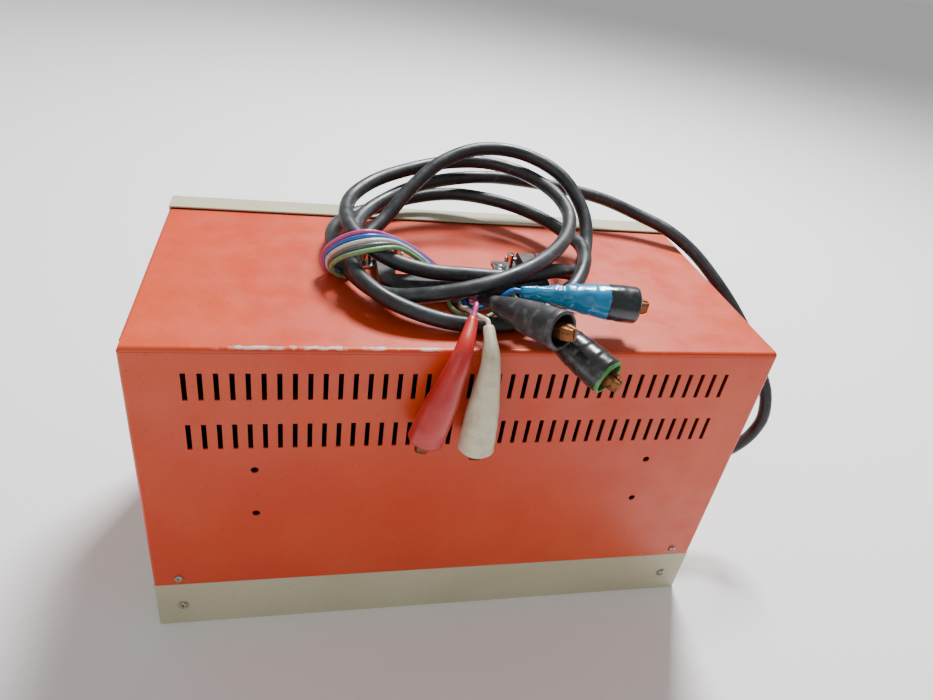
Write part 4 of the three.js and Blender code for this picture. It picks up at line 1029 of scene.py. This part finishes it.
def make_controls():
    """The current dial and its knob, the mode switch, the lamps and the output sockets."""
    soften("current_dial", 0.0003, DIAL_METAL)
    low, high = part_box("current_dial")
    centre = ((low.x + high.x) / 2, (low.z + high.z) / 2)
    marks = ticks(centre, high.y + 0.00005, 0.0465, 0.0515, 0.0545, -135, 135, 31, 5, 0.00045)
    joined_piece("dial_marks", marks, "cabinet", PRINT_BLACK)
    soften("current_knob", 0.0008, PANEL_BLACK, 3)
    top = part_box("current_knob")[1].y
    groove = box_part((centre[0] - 0.0008, centre[0] + 0.0008), (top - 0.0006, top + 0.0003),
                      (centre[1] + 0.002, centre[1] + 0.017))
    joined_piece("knob_line", [groove], "current_control", PAINT_WHITE)
    ribs = []
    for i in range(24):
        angle = TAU * i / 24
        out = Vector((math.sin(angle), 0, math.cos(angle)))
        side = Vector((out.z, 0, -out.x))
        corners = []
        for depth in (top - 0.0155, top - 0.003):
            for radius, sign in ((0.0185, -1), (0.0185, 1), (0.0203, 0.6), (0.0203, -0.6)):
                corners.append(Vector((centre[0], depth, centre[1])) + out * radius + side * 0.0011 * sign)
        ribs.append((corners, BAR_FACES))
    joined_piece("knob_ribs", ribs, "current_control", PANEL_BLACK, 0.0003)
    soften("switch_plate", 0.0004, DIAL_METAL)
    low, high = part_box("switch_plate")
    middle = ((low.x + high.x) / 2, (low.z + high.z) / 2)
    stops = ticks(middle, high.y + 0.00005, 0.0275, 0.0315, 0.0315, 0, 90, 2, 1, 0.0009)
    joined_piece("switch_marks", stops, "cabinet", PRINT_BLACK)
    soften("switch_knob", 0.0009, PANEL_BLACK, 3)
    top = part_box("switch_knob")[1].y
    stripe = box_part((middle[0] - 0.0007, middle[0] + 0.0007), (top - 0.0006, top + 0.0003),
                      (middle[1] + 0.006, middle[1] + 0.024))
    joined_piece("switch_line", [stripe], "mode_switch", PAINT_WHITE)
    for lamp, lens in (("power_lamp", LAMP_GREEN), ("overheat_lamp", LAMP_AMBER)):
        soften(lamp, 0.0003, lens)
        middle = box_middle(lamp)
        spot = Vector((middle.x, LAMP_FACE, middle.z))
        rim = [(0, 0.0), (0.0112, 0.0), (0.0112, 0.0016), (0.0104, 0.0024), (0.0093, 0.0024),
               (0.0093, 0.0004), (0, 0.0004)]
        turned_piece(f"{lamp}_rim", rim, (0, 1, 0), spot, 40, "cabinet", CHROME, smooth=False)
    for socket in ("output_socket_negative", "output_socket_positive"):
        soften(socket, 0.0008, PANEL_BLACK, 3)
        middle = box_middle(socket)
        spot = Vector((middle.x, SOCKET_FACE, middle.z))
        ring = [(0, 0.0), (0.0094, 0.0), (0.0094, 0.016), (0.0086, 0.017), (0.0076, 0.016),
                (0.0076, 0.001), (0, 0.001)]
        turned_piece(f"{socket}_contact", ring, (0, 1, 0), spot, 40, "cabinet", BRASS, smooth=False)


make_meter()
make_controls()

# -------- inside the case
for node, width, material in (
        ("chassis", 0.0003, FRAME_STEEL), ("transformer_core", 0.0004, LAMINATIONS),
        ("reactor_core", 0.0004, LAMINATIONS), ("rectifier", 0.0003, HEATSINK),
        ("switch_body", 0.0008, PHENOLIC), ("terminal_block", 0.0006, PHENOLIC),
        ("fan_frame", 0.0006, PANEL_BLACK), ("fan_rotor", 0.0003, PANEL_BLACK),
        ("transformer_winding_1", 0.0012, WINDING), ("transformer_winding_2", 0.0012, WINDING),
        ("transformer_winding_3", 0.0012, WINDING), ("reactor_winding", 0.0012, WINDING)):
    soften(node, width, material)


# -------- studio
def make_floor():
    """A wide pale floor that the object stands on."""
    mesh = bpy.data.meshes.new("floor")
    reach = 12
    mesh.from_pydata([(-reach, -reach, 0), (reach, -reach, 0), (reach, reach, 0), (-reach, reach, 0)], [],
                     [(0, 1, 2, 3)])
    floor = bpy.data.objects.new("floor", mesh)
    bpy.context.scene.collection.objects.link(floor)
    s = Shader("floor")
    s.set("Base Color", s.mix(s.noise(2), linear(247, 247, 247), linear(249, 249, 249)))
    s.set("Roughness", 0.9)
    mesh.materials.append(s.material)


def make_light(name, place, target, size, power):
    """A square soft light that faces a point."""
    data = bpy.data.lights.new(name, "AREA")
    data.size = size
    data.energy = power
    light = bpy.data.objects.new(name, data)
    bpy.context.scene.collection.objects.link(light)
    light.location = place
    light.rotation_mode = "QUATERNION"
    light.rotation_quaternion = (Vector(target) - Vector(place)).to_track_quat("-Z", "Y")


def make_world():
    world = bpy.data.worlds.new("studio")
    world.use_nodes = True
    backdrop = world.node_tree.nodes["Background"]
    backdrop.inputs["Color"].default_value = (1, 1, 1, 1)
    backdrop.inputs["Strength"].default_value = 0.42
    bpy.context.scene.world = world


make_floor()
make_world()
make_light("key", (0.7, 1.5, 2.6), (0, 0, 0.3), 0.7, 185)
make_light("fill", (-1.4, -2.2, 1.5), (0, 0, 0.2), 2.0, 10)
